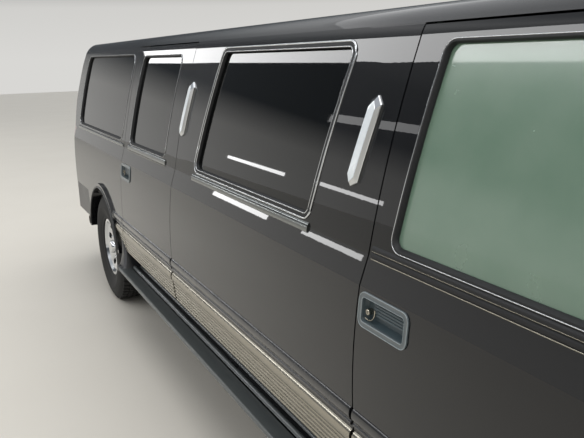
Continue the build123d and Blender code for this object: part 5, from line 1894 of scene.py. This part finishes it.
@dataclass
class Cushion:
    """One kind of cushion: its size, its filling and where its copies lie."""

    name: str
    size: Point
    fill: float
    # Each copy's place, its pitch about Y and its turn about Z.
    places: tuple[tuple[Point, float, float], ...]
    voxel: float = 0.014
    pressure: float = 4.0
    stiffness: float = 12
    bending: float = 0.6
    frames: int = 14
    # How far the cover swells: at the least, and by its filling.
    swell: Flat = (0.01, 0.014)
    swell_limit: float = 1.3
    cord_radius: float = 0.004
    cord_height: float = 0.26
    cord_corner: float = 0.05
    cord_step: float = 0.03

    def build(self) -> list[Piece]:
        """Makes the cushion once and places its copies, each with its piping.

        Returns:
            The placed cushions.
        """
        pad = self.padded_form()
        cord = self.piping(pad)
        made = []
        for index, (at, pitch, turn) in enumerate(self.places):
            cushion = placed(copied(pad), at, pitch, turn)
            settle(cushion, f"{self.name}_{index + 1}", HIDE, smooth=60)
            edge = placed(copied(cord), at, pitch, turn)
            settle(edge, f"{self.name}_piping_{index + 1}", HIDE, smooth=60)
            made.append(cushion)
        bpy.data.objects.remove(pad)
        bpy.data.objects.remove(cord)
        return made

    def padded_form(self) -> Piece:
        """The stuffed form about the origin, swollen by air pressure inside its cover.

        Returns:
            The cushion, its top looking to +Z.
        """
        swell = self.swell[0] + self.swell[1] * self.fill
        start = [max(s - swell * 1.6, s * 0.7) for s in self.size]
        pad = block([-s / 2 for s in start], [s / 2 for s in start], min(start) * 0.24, 4)
        apply_modifier(pad, "REMESH", mode="VOXEL", voxel_size=self.voxel)
        rest = [vertex.co.copy() for vertex in pad.data.vertices]
        self.inflate(pad)
        limit = swell * self.swell_limit
        for vertex, old in zip(pad.data.vertices, rest):
            move = vertex.co - old
            if move.length > limit:
                vertex.co = old + move.normalized() * limit
        low = [min(v.co[i] for v in pad.data.vertices) for i in range(3)]
        high = [max(v.co[i] for v in pad.data.vertices) for i in range(3)]
        pad.scale = [s / (b - a) for s, a, b in zip(self.size, low, high)]
        make_active(pad)
        bpy.ops.object.transform_apply(location=False, rotation=False, scale=True)
        apply_modifier(pad, "SMOOTH", factor=0.5, iterations=3)
        return pad

    def inflate(self, pad: Piece) -> None:
        """Blows the cover up by a cloth simulation and keeps its last step.

        Args:
            pad: the cushion's form.
        """
        make_active(pad)
        cloth = pad.modifiers.new("cloth", "CLOTH")
        cloth.settings.use_pressure = True
        cloth.settings.uniform_pressure_force = self.pressure
        cloth.settings.tension_stiffness = self.stiffness
        cloth.settings.compression_stiffness = self.stiffness
        cloth.settings.bending_stiffness = self.bending
        cloth.settings.effector_weights.gravity = 0.0
        cloth.point_cache.frame_start = 1
        cloth.point_cache.frame_end = self.frames + 2
        scene = bpy.context.scene
        for step in range(1, self.frames + 1):
            scene.frame_set(step)
        bpy.ops.object.modifier_apply(modifier=cloth.name)
        scene.frame_set(1)

    def piping(self, pad: Piece) -> Piece:
        """A sewn cord round the cushion that still lies about the origin.

        Args:
            pad: the cushion, whose surface the cord follows.

        Returns:
            The cord.
        """
        half_x, half_y = self.size[0] / 2, self.size[1] / 2
        path = rounded_outline(rectangle((-half_x, -half_y), (half_x, half_y)), self.cord_corner)
        height, radius = self.size[2] * self.cord_height, self.cord_radius
        points = []
        for start, end in zip(path, [*path[1:], path[0]]):
            a, b = Vector(start), Vector(end)
            parts = max(1, int((b - a).length / self.cord_step))
            for k in range(parts):
                point = Vector((*a.lerp(b, k / parts), height))
                found, spot, normal, _ = pad.closest_point_on_mesh(point)
                points.append((spot if found else point, normal))
        rings = []
        for index, (spot, normal) in enumerate(points):
            along = (points[(index + 1) % len(points)][0] - points[index - 1][0]).normalized()
            across = along.cross(normal).normalized()
            rings.append([
                tuple(spot + normal * radius * cos(t) + across * radius * sin(t)) for t in turns(8)
            ])
        return band(rings, closed=True)


def copied(piece: Piece) -> Piece:
    """A copy of a piece with a mesh of its own.

    Args:
        piece: the object.

    Returns:
        The copy.
    """
    make_active(piece)
    bpy.ops.object.duplicate()
    return bpy.context.object


def placed(piece: Piece, at: Point, pitch: float = 0.0, turn: float = 0.0) -> Piece:
    """Turns a piece about Y and then Z, and moves it.

    Args:
        piece: the piece, lying about the origin.
        at: where its origin goes.
        pitch: the turn about Y in radians.
        turn: the turn about Z in radians.

    Returns:
        The same object.
    """
    spin = Matrix.Rotation(turn, 4, "Z") @ Matrix.Rotation(pitch, 4, "Y")
    piece.matrix_world = Matrix.Translation(at) @ spin @ piece.matrix_world
    make_active(piece)
    apply_transform()
    return piece


@dataclass
class Cabin:
    """Seats, carpet, headlining, dashboard fittings, steering wheel and door trim."""

    seat_y: float = 0.475
    bench_y: tuple[float, ...] = (-0.44, 0.0, 0.44)
    side_bench_x: tuple[float, ...] = (-1.66, -1.2, -0.74, -0.28, 0.16)
    side_back_x: tuple[float, ...] = (-0.52, -0.06)
    lining_x: tuple[float, ...] = (-3.3, -2.2, -1.1, 0.0, 1.1, 1.76)
    lining_half: float = 0.7
    # Each dial's place across and its radius.
    dials: Flats = ((0.48, 0.05), (0.36, 0.05), (0.56, 0.026), (0.27, 0.026))
    vents_y: tuple[float, ...] = (-0.72, -0.1, 0.1, 0.72)
    card_z: tuple[float, ...] = (0.64, 0.7, 0.8, 0.92, 1.04, 1.14, 1.205)
    card_inset: Flat = (0.0675, 0.074)

    def build(self) -> None:
        """Adds every cabin fitting."""
        self.front_seats()
        self.lounge()
        self.linings()
        self.dash_fittings()
        self.steering_wheel()
        for side in Side:
            for door, back, fore in DOORS:
                self.door_trim(side, door, back + 0.07, fore - 0.12)

    def front_seats(self) -> None:
        """Adds the two front seats in place of their plain forms."""
        both = (-self.seat_y, self.seat_y)
        seats = []
        for name, size, fill, (x, z), pitch in (
            ("front_seat_cushion", (0.46, 0.5, 0.15), 0.7, (1.59, 0.85), -4),
            ("front_seat_back", (0.6, 0.48, 0.13), 0.6, (1.305, 1.165), -82),
            ("front_head_rest", (0.17, 0.27, 0.1), 0.8, (1.292, 1.555), -84),
        ):
            places = tuple(((x, y, z), radians(pitch), 0.0) for y in both)
            seats += Cushion(name, size, fill, places).build()
        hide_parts("front_seats")
        for y, word in zip(both, ("right", "left")):
            shell = block((1.375, y - 0.215, 0.6), (1.79, y + 0.215, 0.775), 0.02, 3)
            settle(shell, f"front_seat_base_{word}", CABIN_PLASTIC)
            stalks = [rod((1.288, y + d, 1.44), (1.292, y + d, 1.53), 0.007, 16) for d in (-0.06, 0.06)]
            settle(joined(stalks), f"head_rest_stalks_{word}", STAINLESS)

    def lounge(self) -> None:
        """Adds the rear and side benches in place of their plain forms."""
        facing_right = radians(-90)
        cushions = Cushion(
            "lounge_cushion", (0.54, 0.44, 0.17), 0.7,
            (
                *(((-2.15, y, 0.87), 0.0, 0.0) for y in self.bench_y),
                *(((x, 0.6, 0.87), 0.0, facing_right) for x in self.side_bench_x),
            ),
        ).build()
        Cushion(
            "lounge_back", (0.48, 0.44, 0.12), 0.6,
            (
                *(((-2.4, y, 1.18), radians(-84), 0.0) for y in self.bench_y),
                *(((x, 0.825, 1.1), radians(-86), facing_right) for x in self.side_back_x),
            ),
        ).build()
        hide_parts("lounge_seat")
        bases = [
            block((-2.41, -0.655, 0.6), (-1.89, 0.655, 0.79), 0.015),
            block((-1.89, 0.34, 0.6), (0.375, 0.855, 0.79), 0.015),
        ]
        settle(joined(bases), "lounge_bench_base", CABIN_PLASTIC)

    def linings(self) -> None:
        """Adds the carpet and the headlining."""
        carpet = block((-3.4, -0.86, 0.5995), (2.18, 0.86, 0.606), 0.002, 1)
        settle(carpet, "cabin_carpet", CARPET)
        shares = [k / 10 for k in range(-10, 11)]
        face = [(self.lining_half * share, 1.886 - 0.04 * share**2) for share in shares]
        back = [(y, z - 0.006) for y, z in reversed(face)]
        rings = [[(x, y, z) for y, z in (*face, *back)] for x in self.lining_x]
        settle(band(rings, caps=True), "headlining", CABIN_PLASTIC)

    def dash_fittings(self) -> None:
        """Adds the instrument hood, dials, vents, centre stack and glove-box lid."""
        hood = block((2.05, 0.2, 1.185), (2.24, 0.6, 1.25), 0.028, 4)
        settle(hood, "instrument_hood", CABIN_PLASTIC)
        dials = []
        for y, radius in self.dials:
            rim = ((radius, 0.0), (radius + 0.005, 0.0), (radius + 0.005, -0.008), (radius, -0.008))
            dials.append(spun(rim, (2.052, y, 1.145), "X", 40))
        settle(joined(dials), "dial_rims", STAINLESS)
        vents = [
            block((2.034, y - 0.07, z - 0.002), (2.062, y + 0.07, z + 0.002), 0.0008, 1)
            for y in self.vents_y for z in spaced(1.125, 1.169, 4)
        ]
        settle(joined(vents), "dash_vents", MOULDED_BLACK)
        stack = block((2.03, -0.13, 0.93), (2.075, 0.13, 1.095), 0.012, 3)
        settle(stack, "centre_stack", CABIN_PLASTIC)
        controls = [rod((2.012, y, 0.965), (2.034, y, 0.965), 0.013) for y in (-0.08, 0.0, 0.08)]
        controls += [
            block((2.024, y - 0.024, 1.045), (2.034, y + 0.024, 1.065), 0.003)
            for y in (-0.08, -0.02, 0.04, 0.1)
        ]
        settle(joined(controls), "centre_stack_controls", MOULDED_BLACK)
        lid = block((2.036, -0.64, 0.93), (2.062, -0.24, 1.07), 0.01, 3)
        settle(lid, "glove_box_lid", CABIN_PLASTIC)

    def steering_wheel(self) -> None:
        """Adds a padded rim, spokes and centre pad in place of the plain wheel."""
        nothing_selected()
        bpy.ops.mesh.primitive_torus_add(
            major_radius=0.188, minor_radius=0.0145, major_segments=72, minor_segments=16
        )
        rim = bpy.context.object
        pad = block((-0.075, -0.085, -0.006), (0.06, 0.085, 0.03), 0.02, 4)
        spokes = [
            block((x0, y0, -0.008), (x1, y1, 0.008), 0.007)
            for (x0, x1), (y0, y1) in (
                ((-0.022, 0.022), (-0.178, -0.07)), ((-0.022, 0.022), (0.07, 0.178)),
                ((-0.18, -0.06), (-0.024, 0.024)),
            )
        ]
        column = rod((0, 0, -0.2), (0, 0, 0.0), 0.03, 32)
        wheel = placed(joined([rim, pad, *spokes, column]), (1.935, 0.4, 1.105), radians(-62))
        settle(wheel, "steering_wheel_rim", HIDE, smooth=45, slot="trim_plastic")
        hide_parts("steering_wheel")

    def door_trim(self, side: Side, door: str, x0: float, x1: float) -> None:
        """Adds a door's inner trim: card, arm rest, map pocket and pull.

        Args:
            side: the side that the door is on.
            door: the door's name.
            x0: where the card starts.
            x1: where the card ends.
        """
        s, body = side.value, f"{door}_{side.word}"
        near, deep = self.card_inset
        rings = [
            [
                *((x, s * (BODY.reach(z) - near), z) for z in self.card_z),
                *((x, s * (BODY.reach(z) - deep), z) for z in reversed(self.card_z)),
            ]
            for x in (x0, x1)
        ]
        settle(band(rings, caps=True), f"{door}_card_{side.word}", CABIN_PLASTIC, body, 30)
        rest = block((x0 + 0.1, s * 0.862, 0.925), (x1 - 0.22, s * 0.925, 0.985), 0.02, 4)
        settle(rest, f"{door}_arm_rest_{side.word}", HIDE, body)
        pocket = block((x0 + 0.12, s * 0.885, 0.68), (x1 - 0.16, s * 0.926, 0.79), 0.018, 3)
        settle(pocket, f"{door}_map_pocket_{side.word}", CABIN_PLASTIC, body)
        lever = block((x1 - 0.2, s * 0.89, 1.04), (x1 - 0.1, s * 0.912, 1.068), 0.008, 3)
        settle(lever, f"{door}_inner_pull_{side.word}", STAINLESS, body)


# Underside


@dataclass
class Underside:
    """Spring clamps, dampers, brakes, axle covers, tank straps and exhaust bands."""

    spring_y: float = 0.477
    bolt_dx: float = 0.052
    bolt_dy: float = 0.036
    # Sections, as radius and place along the axle or the shaft.
    drum: Flats = (
        (0.06, 0.0), (0.152, 0.0), (0.158, 0.01), (0.158, 0.07), (0.15, 0.074), (0.06, 0.074),
    )
    disc: Flats = ((0.058, 0.0), (0.164, 0.0), (0.164, 0.026), (0.058, 0.026))
    cover_bolts: int = 10
    pipe_y: float = -0.255
    tank_low: Flat = (-0.1915, 0.3285)
    tank_high: Flat = (0.3515, 0.5115)
    strap_half: float = 0.02

    def build(self) -> None:
        """Adds every underside fitting."""
        for side in Side:
            for end, axle in (("rear", REAR_AXLE), ("front", FRONT_AXLE)):
                self.spring_clamp(side, end, axle)
                self.damper(side, end, axle)
            self.brakes(side)
        self.axle_cover("rear", REAR_AXLE - 0.128, 0.0, 0.104, -1)
        self.axle_cover("front", FRONT_AXLE + 0.112, -0.18, 0.092, 1)
        self.shaft_joints()
        self.exhaust_bands()
        self.tank_straps()

    def spring_clamp(self, side: Side, end: str, axle: float) -> None:
        """Adds the U-bolts and plate that clamp a leaf pack to the axle tube.

        Args:
            side: the side.
            end: front or rear.
            axle: the axle's place in x.
        """
        y, across = side.value * self.spring_y, self.bolt_dy
        pieces = [block((axle - 0.075, y - 0.042, 0.303), (axle + 0.075, y + 0.042, 0.313), 0.002, 1)]
        for x in (axle - self.bolt_dx, axle + self.bolt_dx):
            for dy in (-across, across):
                pieces.append(rod((x, y + dy, 0.29), (x, y + dy, 0.452), 0.007, 12))
                pieces.append(rod((x, y + dy, 0.294), (x, y + dy, 0.304), 0.012, 6))
            pieces.append(rod((x, y - across, 0.452), (x, y + across, 0.452), 0.007, 12))
        settle(joined(pieces), f"spring_clamp_{end}_{side.word}", CAST_IRON, slot="spring_steel")

    def damper(self, side: Side, end: str, axle: float) -> None:
        """Adds a damper between the axle and the rail.

        Args:
            side: the side.
            end: front or rear.
            axle: the axle's place in x.
        """
        s = side.value
        low = (axle + 0.06, s * 0.41, 0.35)
        high = (axle + 0.15, s * 0.34, 0.545)
        middle = tuple(a + (b - a) * 0.5 for a, b in zip(low, high))
        pieces = [rod(low, middle, 0.03), rod(middle, high, 0.012, 16)]
        settle(joined(pieces), f"damper_{end}_{side.word}", CHASSIS_PAINT, smooth=50)

    def brakes(self, side: Side) -> None:
        """Adds a rear drum and a front disc with its caliper.

        Args:
            side: the side.
        """
        s = side.value
        drum = spun(self.drum, (REAR_AXLE, s * 0.8 - 0.037, HUB_Z), "Y", 48)
        settle(drum, f"brake_drum_{side.word}", CAST_IRON, f"wheel_rear_{side.word}", 35)
        disc = spun(self.disc, (FRONT_AXLE, s * 0.855 - 0.013, HUB_Z), "Y", 48)
        settle(disc, f"brake_disc_{side.word}", CAST_IRON, f"wheel_front_{side.word}", 35)
        low = (FRONT_AXLE - 0.185, s * 0.81, HUB_Z - 0.05)
        high = (FRONT_AXLE - 0.105, s * 0.89, HUB_Z + 0.05)
        caliper = block(low, high, 0.014, 3)
        settle(caliper, f"brake_caliper_{side.word}", CAST_IRON, f"knuckle_{side.word}")

    def axle_cover(self, name: str, x: float, y: float, radius: float, out: int) -> None:
        """Adds the bolted cover of an axle housing.

        Args:
            name: the axle's name.
            x: the housing's far side.
            y: the cover's middle across the vehicle.
            radius: the cover's radius.
            out: 1 where the cover looks forwards, -1 where it looks back.
        """
        shares = ((0.0, 0.0), (1.0, 0.0), (1.0, 0.008), (0.85, 0.012), (0.6, 0.026), (0.0, 0.032))
        profile = [(radius * share, out * along) for share, along in shares]
        cover = spun(profile, (x - out * 0.03, y, HUB_Z), "X", 40)
        bolts = []
        for angle in turns(self.cover_bolts):
            by, bz = y + radius * 0.9 * cos(angle), HUB_Z + radius * 0.9 * sin(angle)
            bolts.append(rod((x - out * 0.024, by, bz), (x - out * 0.014, by, bz), 0.008, 6))
        settle(joined([cover, *bolts]), f"axle_cover_{name}", CAST_IRON, smooth=35)

    def shaft_joints(self) -> None:
        """Adds the cross joints at the drive shafts' ends."""
        crosses = [
            rod((x, 0, HUB_Z - 0.052), (x, 0, HUB_Z + 0.052), 0.016, 16)
            for x in (REAR_AXLE + 0.205, FRONT_AXLE - 1.085)
        ]
        yokes = [
            rod((x - 0.03, 0, HUB_Z), (x + 0.03, 0, HUB_Z), 0.05)
            for x in (REAR_AXLE + 0.205, FRONT_AXLE - 1.09)
        ]
        settle(joined([*crosses, *yokes]), "drive_shaft_joints", CAST_IRON)

    def exhaust_bands(self) -> None:
        """Adds the silencer's end seams and the pipe's hangers."""
        y = self.pipe_y
        bands = [
            rod((x - half, y, z), (x + half, y, z), radius, sides)
            for offsets, z, half, radius, sides in (
                ((1.915, 2.585), 0.45, 0.006, 0.0635, 40), ((0.9, 3.3, 4.3), 0.484, 0.012, 0.031, 32),
            )
            for x in (REAR_AXLE + offset for offset in offsets)
        ]
        settle(joined(bands), "exhaust_bands", EXHAUST_STEEL)

    def tank_straps(self) -> None:
        """Adds the two straps round the fuel tank."""
        outline = rounded_outline(rectangle(self.tank_low, self.tank_high), 0.03, 5)
        straps = []
        for x in (REAR_AXLE - 0.72, REAR_AXLE - 0.4):
            edges = (x - self.strap_half, x + self.strap_half)
            strap = band([[(edge, y, z) for y, z in outline] for edge in edges])
            apply_modifier(strap, "SOLIDIFY", thickness=0.0025, offset=0)
            straps.append(strap)
        settle(joined(straps), "tank_straps", CHASSIS_PAINT)


def main() -> None:
    """Builds the surround, the finishes and each sub-assembly in order."""
    logging.basicConfig(level=logging.INFO, format="%(name)s: %(message)s")
    scene = bpy.context.scene
    scene.view_settings.view_transform = "Standard"
    Studio().build()
    PhotoCamera().build()
    dress_nodes()
    for part in (
        SideTrim(), WindowTrim(), PillarLamps(), PullHandle(), *WHEELS, FrontEnd(), TailEnd(),
        Mirrors(), Boards(), Cabin(), Underside(),
    ):
        part.build()
        log.info("%s done", type(part).__name__)


if __name__ == "__main__":
    main()
